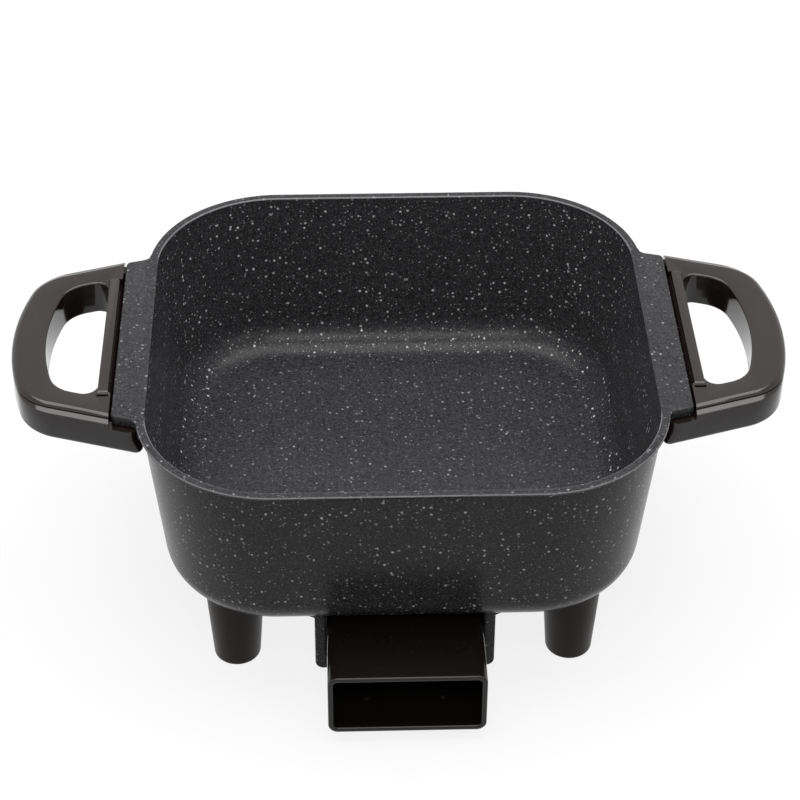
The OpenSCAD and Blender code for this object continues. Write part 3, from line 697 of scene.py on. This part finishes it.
def add_pan_form(sizes, gap):
    """A solid of the pan's outer form, drawn in by gap, that trims what meets the pan from outside."""
    top = RIM_Z - OVER
    form = add_rim_block(sizes, top, RIM_Z)
    line = wall_line(sizes, gap, sizes.base + gap, sizes.bend - gap, top)
    draw_in(form, False, [(0, top)] + line)
    return form


def add_lug(sizes, inlet):
    """Right-hand lug beside the shroud, with a flare where it runs into the pan."""
    low_x = inlet.wide / 2 + sizes.lug_gap
    high_x = low_x + sizes.lug_wide
    rear = SHROUD_HIGH.y - inlet.rear
    front = rear - sizes.lug_deep
    low = SHROUD_LOW.z + sizes.lug_lift
    top = sizes.base + sizes.bend / 2
    lug = add_box((low_x, front, low), (high_x, rear, top))
    round_edges(lug, lambda e: along(e, 1) and middle(e).z < low + OVER and middle(e).x > high_x - OVER,
                sizes.lug_corner, 2 * EDGE_STEPS)
    round_edges(lug, lambda e: e.calc_face_angle() > SHARP and middle(e).y < front + OVER,
                sizes.lug_edge, EDGE_STEPS)
    flare = add_wedge((high_x - OVER, front + sizes.lug_edge, sizes.base),
                      (high_x + sizes.flare_wide, rear, top - OVER), sizes.flare_high)
    combine(lug, flare, "UNION")
    combine(lug, add_pan_form(sizes, sizes.wall / 2), "DIFFERENCE")
    return lug


def add_rib(sizes):
    """Rib under the floor that follows the heating tube's loop, open where the tube turns to the front."""
    half = sizes.rib_wide / 2
    bend_c = sizes.loop_half - sizes.loop_bend
    pin_low, pin_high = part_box("terminal_pin_right")
    turn = ((pin_low.x + pin_high.x) / 2 + sizes.turn_bend, -sizes.loop_half - sizes.turn_bend)
    sides = []
    for out in (half, -half):
        bend = sizes.loop_bend + out
        sides.append(
            arc(turn, sizes.turn_bend - out, math.pi, 0.5 * math.pi, EDGE_STEPS)
            + arc((bend_c, -bend_c), bend, -0.5 * math.pi, 0, BEND_STEPS)
            + arc((bend_c, bend_c), bend, 0, 0.5 * math.pi, BEND_STEPS))
    outer, inner = sides
    loop = outer + [(-x, y) for x, y in reversed(outer)] + [(-x, y) for x, y in inner] + inner[::-1]
    outline = [(x, MIDDLE_Y + y) for x, y in loop]
    return add_stack([(outline, sizes.base - sizes.rib_high), (outline, sizes.base + OVER)])


def add_boss(sizes):
    """Boss with a round lower edge that holds the probe sleeve."""
    sleeve_low, sleeve_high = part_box("probe_sleeve")
    middle_z = (sleeve_low.z + sleeve_high.z) / 2
    half = sizes.boss_wide / 2
    sleeve_r = (sleeve_high.x - sleeve_low.x) / 2
    front = SHROUD_HIGH.y + sizes.boss_set
    back = sleeve_high.y + half - sleeve_r
    boss = add_box((-half, front, middle_z - half), (half, back, sizes.base + OVER))
    round_edges(boss, lambda e: along(e, 1) and middle(e).z < middle_z, half * FULL_ROUND, BEND_STEPS)
    bore = add_rod(sleeve_r + sizes.sleeve_gap, (0, front - OVER, middle_z), (0, sleeve_high.y, middle_z))
    combine(boss, bore, "DIFFERENCE")
    return boss


class SKILLET_OT_pan(bpy.types.Operator):
    """Model the cast pan with its rim, ears and lugs"""

    bl_idname = "skillet.pan"
    bl_label = "Pan"

    def execute(self, context):
        skillet = context.scene.skillet
        sizes = skillet.pan
        pan = add_bowl(sizes)
        ear = add_ear(sizes)
        lug = add_lug(sizes, skillet.inlet)
        others = [mirror_copy(ear, 0), mirror_copy(lug, 0), ear, lug, add_rib(sizes), add_boss(sizes)]
        for other in others:
            combine(pan, other, "UNION")
        settle(pan, "pan", BODY, "pan_body", stone_coating(skillet.finishes))
        return {"FINISHED"}


# Handles


# Segments of each arc in a handle's outline, and the least radius of such an arc
LOOP_STEPS = 14
LEAST_RADIUS = 0.1 * MM
# Lean of the side of the groove at the step's foot, as a share of its depth
REVEAL_LEAN = 0.1


def loop_outline(start, slope, end, inset, outer, bow, drawn):
    """Outline between two sloped sides set in from start, an outer bow and an inner end, all drawn in.

    end and outer each hold the x of a side and the radius of its corners.
    """
    run = Vector((math.cos(slope), -math.sin(slope)))
    inward = Vector((-math.sin(slope), -math.cos(slope)))
    bow_c = Vector((outer[0] - bow, 0))
    base = start + inward * (inset + outer[1])
    offset = base - bow_c
    reach = offset.dot(run)
    corner = base + run * (math.sqrt(reach ** 2 - offset.length_squared + (bow - outer[1]) ** 2) - reach)
    turn = math.atan2(corner.y, corner.x - bow_c.x)
    inner_c = start + inward * (inset + end[1])
    inner_c += run * ((end[0] + end[1] - inner_c.x) / run.x)
    half = (arc(bow_c, bow - drawn, 0, turn, LOOP_STEPS)
            + arc(corner, outer[1] - drawn, turn, math.pi / 2 - slope, LOOP_STEPS)[1:]
            + arc(inner_c, max(end[1] - drawn, LEAST_RADIUS), math.pi / 2 - slope, math.pi, LOOP_STEPS))
    return ([(x, MIDDLE_Y + y) for x, y in half]
            + [(x, MIDDLE_Y - y) for x, y in reversed(half[1:])])


def soften(profile, bevel):
    """A profile whose inner corners are each cut off by a short bevel."""
    softened = [profile[0]]
    for before, corner, after in zip(profile, profile[1:], profile[2:]):
        for other in (before, after):
            run = Vector(other) - Vector(corner)
            softened.append(tuple(Vector(corner) + bevel * run.normalized()))
    return softened + [profile[-1]]


def add_handle_form(sizes, pan, start):
    """Outer shape of a handle: a rounded lower edge, a toe, and a top set in by a step with a groove."""
    low, top = HANDLE_LOW.z, HANDLE_HIGH.z
    ledge = top - sizes.step_high
    toe = (HANDLE_LOW.x, sizes.under + sizes.toe_round)
    end = (RIM_HALF - pan.lip + sizes.wall_gap, sizes.inner_corner)
    lower = arc((sizes.under, low + sizes.under), sizes.under, 1.5 * math.pi, math.pi, 2 * EDGE_STEPS)
    brink = sizes.step_in - sizes.reveal
    inside = sizes.step_in + sizes.crest_wide
    upper = soften([
        (0, low + sizes.toe_high), (0, ledge - sizes.ledge_high), (brink, ledge),
        (brink + REVEAL_LEAN * sizes.reveal, ledge - sizes.reveal), (sizes.step_in, ledge - sizes.reveal),
        (sizes.step_in, top - sizes.crest_high), (inside, top), (inside + OVER, top)], sizes.softening)
    rings = []
    for inner, levels in ((toe, lower), (end, upper)):
        for drawn, height in levels:
            lost = sizes.fade * min(drawn, sizes.step_in) if height > low + sizes.toe_high else 0
            outer = (HANDLE_HIGH.x + lost, sizes.corner)
            outline = loop_outline(start, sizes.slope, inner, -sizes.step_in, outer, sizes.bow, drawn)
            rings.append((outline, height))
    return add_stack(rings)


def cut_finger_hole(handle, sizes, start, hole_x):
    """Cuts the finger hole, rounds its edges and returns its outline."""
    low, top = HANDLE_LOW.z, HANDLE_HIGH.z
    outline = loop_outline(
        start, sizes.slope, (hole_x, sizes.hole_inner), sizes.arm - sizes.step_in,
        (HANDLE_HIGH.x - sizes.grip, sizes.hole_corner), sizes.bow - sizes.grip, 0)
    combine(handle, add_stack([(outline, low - OVER), (outline, top + OVER)]), "DIFFERENCE")

    def hole_rim(edge):
        flat = sorted(abs(f.normal.z) for f in edge.link_faces)
        height = middle(edge).z
        at_face = min(abs(height - top), abs(height - low)) < TOUCH
        square = flat[0] < 1 - FACING and flat[1] > FACING
        return square and at_face and middle(edge).x > hole_x - OVER

    round_edges(handle, hole_rim, sizes.hole_round, EDGE_STEPS)
    return outline


def cut_prop_groove(handle, sizes, pan, hole_x, open_y):
    """Cuts the room for a lid prop: its groove, the gutters beside it, its open side and its pocket."""
    top = HANDLE_HIGH.z
    shelf = top - pan.ear_thick
    seam_x = EAR_X + sizes.seam
    pivot = Vector(HINGE["pos_m"])
    half = (PROP_HIGH.x - PROP_LOW.x) / 2 + sizes.prop_gap
    left, right = pivot.x - half - sizes.prop_slit, pivot.x + half
    far = PROP_HIGH.y + sizes.prop_gap
    eye = PROP_HIGH.z - pivot.z
    groove_z = pivot.z - sizes.prop_under - sizes.prop_gap
    groove = add_box((left, pivot.y, groove_z), (right, far, top + OVER))
    round_edges(groove, lambda e: along(e, 2) and middle(e).y > pivot.y + half, half, 2 * EDGE_STEPS)
    combine(handle, groove, "DIFFERENCE")
    half_seam = pan.ear_length / 2 - sizes.seam_end
    gutter = add_wedge((EAR_X - OVER / 2, MIDDLE_Y - half_seam, shelf - sizes.seam_deep),
                       (seam_x, MIDDLE_Y + half_seam, shelf + OVER), sizes.seam_deep - OVER / 2)
    combine(handle, gutter, "DIFFERENCE")
    strip = add_wedge((seam_x - OVER, pivot.y - eye, shelf), (left + OVER, far, top + OVER),
                      pan.ear_thick - sizes.strip_drop)
    combine(handle, strip, "DIFFERENCE")
    open_side = add_box((pivot.x, MIDDLE_Y - open_y, groove_z),
                        (hole_x + 2 * OVER, MIDDLE_Y + open_y, top + OVER))
    combine(handle, open_side, "DIFFERENCE")
    pocket_y = eye + sizes.pocket_gap
    pocket = add_box((left, pivot.y - pocket_y, pivot.z - eye - sizes.prop_gap),
                     (right, pivot.y + pocket_y, top + OVER))
    combine(handle, pocket, "DIFFERENCE")


def cut_screw_recesses(handle, sizes):
    """Cuts the recesses for the heads of a handle's two screws."""
    low = HANDLE_LOW.z
    screw_low, screw_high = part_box("handle_screws_right")
    screw_r = (screw_high.x - screw_low.x) / 2
    x = screw_low.x + screw_r
    for y in (screw_low.y + screw_r, screw_high.y - screw_r):
        recess = add_rod(sizes.screw_recess / 2, (x, y, low - OVER), (x, y, low + sizes.screw_deep))
        combine(handle, recess, "DIFFERENCE")


def add_handle(sizes, pan):
    """Right-hand handle with its finger hole, screw recesses and the groove for its lid prop."""
    top = HANDLE_HIGH.z
    seam_x = EAR_X + sizes.seam
    hole_x = seam_x + sizes.hole_edge
    start = Vector((EAR_X, pan.ear_length / 2))
    handle = add_handle_form(sizes, pan, start)
    room = add_box((0, MIDDLE_Y - RIM_HALF, top - pan.ear_thick), (seam_x, MIDDLE_Y + RIM_HALF, top + OVER))
    combine(handle, room, "DIFFERENCE")
    hole = cut_finger_hole(handle, sizes, start, hole_x)
    open_y = max(y for x, y in hole if x < hole_x + TOUCH) - MIDDLE_Y + sizes.open_over
    cut_prop_groove(handle, sizes, pan, hole_x, open_y)
    cut_screw_recesses(handle, sizes)
    return handle


class SKILLET_OT_handles(bpy.types.Operator):
    """Model the two loop handles"""

    bl_idname = "skillet.handles"
    bl_label = "Handles"

    def execute(self, context):
        skillet = context.scene.skillet
        finish = phenolic("handle_phenolic", skillet.finishes.phenolic, rough=(0.08, 0.14), specular=0.45)
        right = add_handle(skillet.handles, skillet.pan)
        left = mirror_copy(right, 0)
        for piece, side in ((right, "right"), (left, "left")):
            settle(piece, "loop_handle_" + side, BODY, "handle_" + side, finish)
        return {"FINISHED"}


# Lid props


def add_prop(sizes):
    """Right-hand lid prop: a bar with a round eye on its pivot and a rounded free end."""
    pivot = Vector(HINGE["pos_m"])
    eye = pivot.y - PROP_LOW.y
    half = (PROP_HIGH.x - PROP_LOW.x) / 2
    under = pivot.z - sizes.prop_under
    inner_x = pivot.x - half - sizes.prop_extra
    bar = add_box((inner_x, pivot.y, under), (pivot.x + half, PROP_HIGH.y, PROP_HIGH.z))
    round_edges(bar, lambda e: along(e, 2) and middle(e).y > PROP_HIGH.y - OVER,
                half * FULL_ROUND, 2 * EDGE_STEPS)
    ring = add_rod(eye, (inner_x, pivot.y, pivot.z), (pivot.x + half, pivot.y, pivot.z))
    combine(bar, ring, "UNION")

    def upper_edge(edge):
        sharp = len(edge.link_faces) == 2 and edge.calc_face_angle() > SHARP
        return sharp and middle(edge).z > pivot.z and middle(edge).y > pivot.y + OVER

    round_edges(bar, upper_edge, sizes.prop_edge, TRIM_STEPS)
    past = Vector((2 * half, 0, 0))
    pin = add_rod(sizes.prop_pin / 2, pivot - past, pivot + past, PIN_SIDES)
    combine(bar, pin, "DIFFERENCE")
    return bar


class SKILLET_OT_lid_props(bpy.types.Operator):
    """Model the two flip-up bars that prop a lid"""

    bl_idname = "skillet.lid_props"
    bl_label = "Lid props"

    def execute(self, context):
        skillet = context.scene.skillet
        finish = enamel("prop_enamel", skillet.finishes.enamel)
        right = add_prop(skillet.handles)
        left = mirror_copy(right, 0)
        for piece, side in ((right, "right"), (left, "left")):
            name = "lid_prop_" + side
            settle(piece, "prop_bar_" + side, name, name, finish)
        return {"FINISHED"}


# Legs


LEG_SIDES = 72


def add_leg(sizes, pan):
    """Leg for the corner at +X +Y: a tapered turning, scribed at its top to the pan's bend."""
    pad_low, pad_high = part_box("foot_pad_rear_right")
    axis = Vector(((pad_low.x + pad_high.x) / 2, (pad_low.y + pad_high.y) / 2, 0))
    low = LEG_LOW.z
    tall = LEG_HIGH.z + OVER - low
    foot_r = sizes.foot / 2
    start_clean()
    bpy.ops.mesh.primitive_cone_add(
        vertices=LEG_SIDES, radius1=foot_r, radius2=foot_r + tall * math.tan(sizes.taper), depth=tall,
        location=axis + Vector((0, 0, low + tall / 2)))
    leg = apply_place()
    round_edges(leg, lambda e: middle(e).z < low + NEAR, sizes.edge, 2 * EDGE_STEPS)
    flat_r = foot_r - sizes.edge
    recess_in = flat_r - sizes.recess / 2
    well_in = flat_r - sizes.well / 2
    recess_z = low + sizes.recess_deep
    well_z = recess_z + sizes.well_deep
    draw_in(leg, False, [
        (0, low), (recess_in, low), (recess_in + TOUCH, recess_z), (well_in, recess_z),
        (well_in + TOUCH, well_z)])
    combine(leg, add_pan_form(pan, -sizes.gap), "DIFFERENCE")
    return leg


class SKILLET_OT_legs(bpy.types.Operator):
    """Model the four legs"""

    bl_idname = "skillet.legs"
    bl_label = "Legs"

    def execute(self, context):
        skillet = context.scene.skillet
        # The legs' mould is satin, so that they show hardly any gloss
        finish = phenolic("leg_phenolic", skillet.finishes.leg, rough=(0.3, 0.42), specular=0.13)
        rear_right = add_leg(skillet.legs, skillet.pan)
        rear_left = mirror_copy(rear_right, 0)
        front_right = mirror_copy(rear_right, 1)
        front_left = mirror_copy(rear_left, 1)
        legs = {"rear_right": rear_right, "rear_left": rear_left,
                "front_right": front_right, "front_left": front_left}
        for place, piece in legs.items():
            settle(piece, "turned_leg_" + place, BODY, "leg_" + place, finish)
        return {"FINISHED"}


# Inlet


def add_shroud(sizes, pan):
    """Box open to the front, with side flanges behind the lugs and holes for the terminals."""
    half = sizes.wide / 2
    front, rear = SHROUD_LOW.y, SHROUD_HIGH.y
    low, high = SHROUD_LOW.z, SHROUD_HIGH.z
    shroud = add_box((-half, front, low), (half, rear, high))
    round_edges(shroud, lambda e: along(e, 1), sizes.corner, 2 * EDGE_STEPS)
    bpy.ops.object.mode_set(mode="EDIT")
    pick(shroud, lambda f: f.normal.y < -FACING, "faces")
    bpy.ops.mesh.inset(thickness=sizes.wall, depth=0, use_even_offset=True)
    bpy.ops.mesh.extrude_region_move(TRANSFORM_OT_translate={"value": (0, rear - sizes.rear - front, 0)})
    bpy.ops.object.mode_set(mode="OBJECT")
    round_edges(shroud, lambda e: middle(e).y < front + TOUCH and e.calc_face_angle() > SHARP,
                sizes.mouth_edge, TRIM_STEPS)
    flange = add_box((SHROUD_LOW.x, rear - sizes.rear, low + pan.lug_lift), (SHROUD_HIGH.x, rear, high))
    round_edges(flange, lambda e: along(e, 1), sizes.flange_corner, EDGE_STEPS)
    combine(shroud, flange, "UNION")
    pin_low, pin_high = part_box("terminal_pin_right")
    inlet_z = (pin_low.z + pin_high.z) / 2
    pin_x = (pin_low.x + pin_high.x) / 2
    holes = ((-pin_x, sizes.pin_hole), (0, sizes.sleeve_hole), (pin_x, sizes.pin_hole))
    for x, wide in holes:
        hole = add_rod(wide / 2, (x, rear - 2 * sizes.rear, inlet_z), (x, rear + OVER, inlet_z))
        combine(shroud, hole, "DIFFERENCE")
    return shroud


class SKILLET_OT_inlet(bpy.types.Operator):
    """Model the shroud round the terminals"""

    bl_idname = "skillet.inlet"
    bl_label = "Inlet shroud"

    def execute(self, context):
        skillet = context.scene.skillet
        finish = phenolic("shroud_phenolic", skillet.finishes.shroud, rough=(0.07, 0.12), specular=0.32)
        shroud = add_shroud(skillet.inlet, skillet.pan)
        settle(shroud, "inlet_shroud", BODY, "socket_shroud", finish)
        return {"FINISHED"}


# Fittings kept from the frame


class SKILLET_OT_fittings(bpy.types.Operator):
    """Dress the heating tube, terminals, screws, pivots and foot pads"""

    bl_idname = "skillet.fittings"
    bl_label = "Fittings"

    def execute(self, context):
        finishes = context.scene.skillet.finishes
        # Colour, grain in mm and roughness of each material, by the slot that it fills
        materials = {
            # Steel tube, browned and dulled by heat
            "element_sheath": metal("heat_dulled_sheath", finishes.sheath, 0.6, (0.42, 0.6)),
            # Plating that copies the turned pin's polish, the brightest metal here
            "terminal_nickel": metal("nickel_plate", finishes.steel, 0.5, (0.16, 0.28)),
            # Turned tube with the soft gleam of fine tool marks
            "sleeve_steel": metal("turned_stainless", finishes.steel, 0.3, (0.24, 0.4)),
            # Oil-blackened pins, dark with a low gleam
            "pivot_steel": metal("blackened_steel", finishes.blackened, 0.3, (0.18, 0.3)),
            # Plated screws, pale and a little cloudy
            "screw_zinc": metal("zinc_plate", finishes.steel, 0.8, (0.3, 0.45)),
            # Fired and left without a glaze, so pale and chalky
            "insulator_ceramic": dull("unglazed_steatite", finishes.steatite, 0.5, 0.6),
            # Moulded pads with a dry, matt skin
            "foot_rubber": dull("moulded_rubber", finishes.rubber, 0.4, 0.75),
        }
        for part in frame["record"]["subparts"]:
            material = materials.get(part["material_slot"])
            if material:
                node = frame["nodes"][part["node"]]
                node.data.materials.clear()
                node.data.materials.append(material)
        return {"FINISHED"}


# Stage


# Camera at the photograph's viewing angle, with its focal length in the photograph's pixels
PHOTO_PIXELS = 800
FOCAL_PIXELS = 2371.5
CAMERA_TARGET = Vector((0.57 * MM, MIDDLE_Y - 2.44 * MM, 110.29 * MM))
CAMERA_DISTANCE = 1387.24 * MM
CAMERA_YAW = math.radians(-1.965)
CAMERA_RISE = math.radians(37.684)
CAMERA_ROLL = math.radians(0.309)
SENSOR = 36.0
WHITE = linear("#ffffff")
# Floor: its side in metres, its colour and its roughness
FLOOR_SIDE = 12
FLOOR_COLOUR = linear("#6f6f6f")
FLOOR_ROUGH = 0.9
# Its lift to white for the camera: least at the near distance in metres and full at the far one
LIFT_NEAR = 0.4
LIFT_FAR = 1.2
LIFT_LEAST = 0.84
# Soft light from all round
SKY_LEVEL = 0.12
# Each lamp's name, place, width and depth in metres, and power in watts
LAMPS = (
    ("Overhead", (0, 0.2, 1.5), 2, 1.2, 32),
    ("Key", (0, -1.05, 1.35), 0.6, 0.6, 6),
    ("Left", (-1.3, -1.1, 0.9), 0.9, 0.9, 2),
    ("Right", (1.3, -1.1, 0.9), 0.9, 0.9, 2),
)
# Spot that the lamps point at
LAMP_AIM = Vector((0, 0, 0.1))


def add_camera():
    """Camera at the set distance, yaw, rise and roll."""
    data = bpy.data.cameras.new("Camera")
    camera = bpy.data.objects.new("Camera", data)
    bpy.context.scene.collection.objects.link(camera)
    data.sensor_width = SENSOR
    data.lens = FOCAL_PIXELS / PHOTO_PIXELS * SENSOR
    back = Vector((math.sin(CAMERA_YAW) * math.cos(CAMERA_RISE),
                   -math.cos(CAMERA_YAW) * math.cos(CAMERA_RISE), math.sin(CAMERA_RISE)))
    camera.location = CAMERA_TARGET + CAMERA_DISTANCE * back
    turn = back.to_track_quat("Z", "Y")
    camera.rotation_euler = turn.to_euler()
    camera.rotation_euler.rotate_axis("Z", CAMERA_ROLL)
    bpy.context.scene.camera = camera


def add_lamp(name, place, wide, deep, watts):
    """A soft rectangular lamp."""
    data = bpy.data.lights.new(name, "AREA")
    data.shape = "RECTANGLE"
    data.size = wide
    data.size_y = deep
    data.energy = watts
    lamp = bpy.data.objects.new(name, data)
    bpy.context.scene.collection.objects.link(lamp)
    lamp.location = place
    lamp.rotation_euler = (Vector(place) - LAMP_AIM).to_track_quat("Z", "Y").to_euler()


def seen_rays(tree):
    """1 for rays from the camera, straight, reflected or through a clear piece, and 0 for other light."""
    path = add_node(tree, "ShaderNodeLightPath")
    seen = path.outputs["Is Camera Ray"]
    for kind in ("Is Glossy Ray", "Is Transmission Ray"):
        either = add_node(
            tree, "ShaderNodeMath", links={0: seen, 1: path.outputs[kind]}, operation="MAXIMUM")
        seen = either.outputs["Value"]
    return seen


def light_world():
    """White to the camera and in reflections, and a plain level of soft light everywhere else."""
    world = bpy.data.worlds.new("Studio")
    bpy.context.scene.world = world
    world.use_nodes = True
    tree = world.node_tree
    tree.nodes.clear()
    strength = add_node(
        tree, "ShaderNodeMapRange", {"To Min": SKY_LEVEL, "To Max": 1}, {"Value": seen_rays(tree)})
    sky = add_node(
        tree, "ShaderNodeBackground", {"Color": tinted(WHITE)}, {"Strength": strength.outputs["Result"]})
    add_node(tree, "ShaderNodeOutputWorld", links={"Surface": sky.outputs["Background"]})


def add_floor():
    """Pale floor that keeps the object's shadow and is lifted to white for the camera."""
    start_clean()
    bpy.ops.mesh.primitive_plane_add(size=FLOOR_SIDE)
    floor = apply_place()
    floor.name = "floor"
    material, tree, place = new_material("pale_floor")
    away = add_node(tree, "ShaderNodeVectorMath", links={0: place}, operation="LENGTH")
    lift = add_node(
        tree, "ShaderNodeMapRange",
        {"From Min": LIFT_NEAR, "From Max": LIFT_FAR, "To Min": LIFT_LEAST, "To Max": 1},
        {"Value": away.outputs["Value"]})
    glow = add_node(
        tree, "ShaderNodeMath", links={0: lift.outputs["Result"], 1: seen_rays(tree)},
        operation="MULTIPLY")
    add_surface(
        tree, {"Base Color": tinted(FLOOR_COLOUR), "Roughness": FLOOR_ROUGH,
               "Specular IOR Level": 0, "Emission Color": tinted(WHITE)},
        {"Emission Strength": glow.outputs["Value"]})
    floor.data.materials.append(material)


class SKILLET_OT_stage(bpy.types.Operator):
    """Set up the floor, the lights and the camera"""

    bl_idname = "skillet.stage"
    bl_label = "Stage"

    def execute(self, context):
        context.scene.view_settings.view_transform = "Standard"
        add_camera()
        add_floor()
        light_world()
        for lamp in LAMPS:
            add_lamp(*lamp)
        return {"FINISHED"}


class Skillet(bpy.types.PropertyGroup):
    """All settings of the skillet."""

    pan: bpy.props.PointerProperty(type=PanSizes)
    handles: bpy.props.PointerProperty(type=HandleSizes)
    legs: bpy.props.PointerProperty(type=LegSizes)
    inlet: bpy.props.PointerProperty(type=InletSizes)
    finishes: bpy.props.PointerProperty(type=Finishes)


OPERATORS = (SKILLET_OT_pan, SKILLET_OT_handles, SKILLET_OT_lid_props, SKILLET_OT_legs,
             SKILLET_OT_inlet, SKILLET_OT_fittings, SKILLET_OT_stage)


class SKILLET_PT_panel(bpy.types.Panel):
    """Sidebar panel with the skillet's pieces and settings"""

    bl_idname = "SKILLET_PT_panel"
    bl_label = "Electric skillet"
    bl_space_type = "VIEW_3D"
    bl_region_type = "UI"
    bl_category = "Skillet"

    def draw(self, context):
        layout = self.layout
        for operator in OPERATORS:
            layout.operator(operator.bl_idname)
        skillet = context.scene.skillet
        for group in (skillet.pan, skillet.handles, skillet.legs, skillet.inlet, skillet.finishes):
            column = layout.box().column()
            for key in group.__annotations__:
                column.prop(group, key)


CLASSES = (PanSizes, HandleSizes, LegSizes, InletSizes, Finishes, Skillet, *OPERATORS, SKILLET_PT_panel)


def register():
    for cls in CLASSES:
        bpy.utils.register_class(cls)
    bpy.types.Scene.skillet = bpy.props.PointerProperty(type=Skillet)


def unregister():
    del bpy.types.Scene.skillet
    for cls in reversed(CLASSES):
        bpy.utils.unregister_class(cls)


def main():
    register()
    bpy.ops.skillet.stage()
    bpy.ops.skillet.pan()
    bpy.ops.skillet.handles()
    bpy.ops.skillet.lid_props()
    bpy.ops.skillet.legs()
    bpy.ops.skillet.inlet()
    bpy.ops.skillet.fittings()


if __name__ == "__main__":
    main()
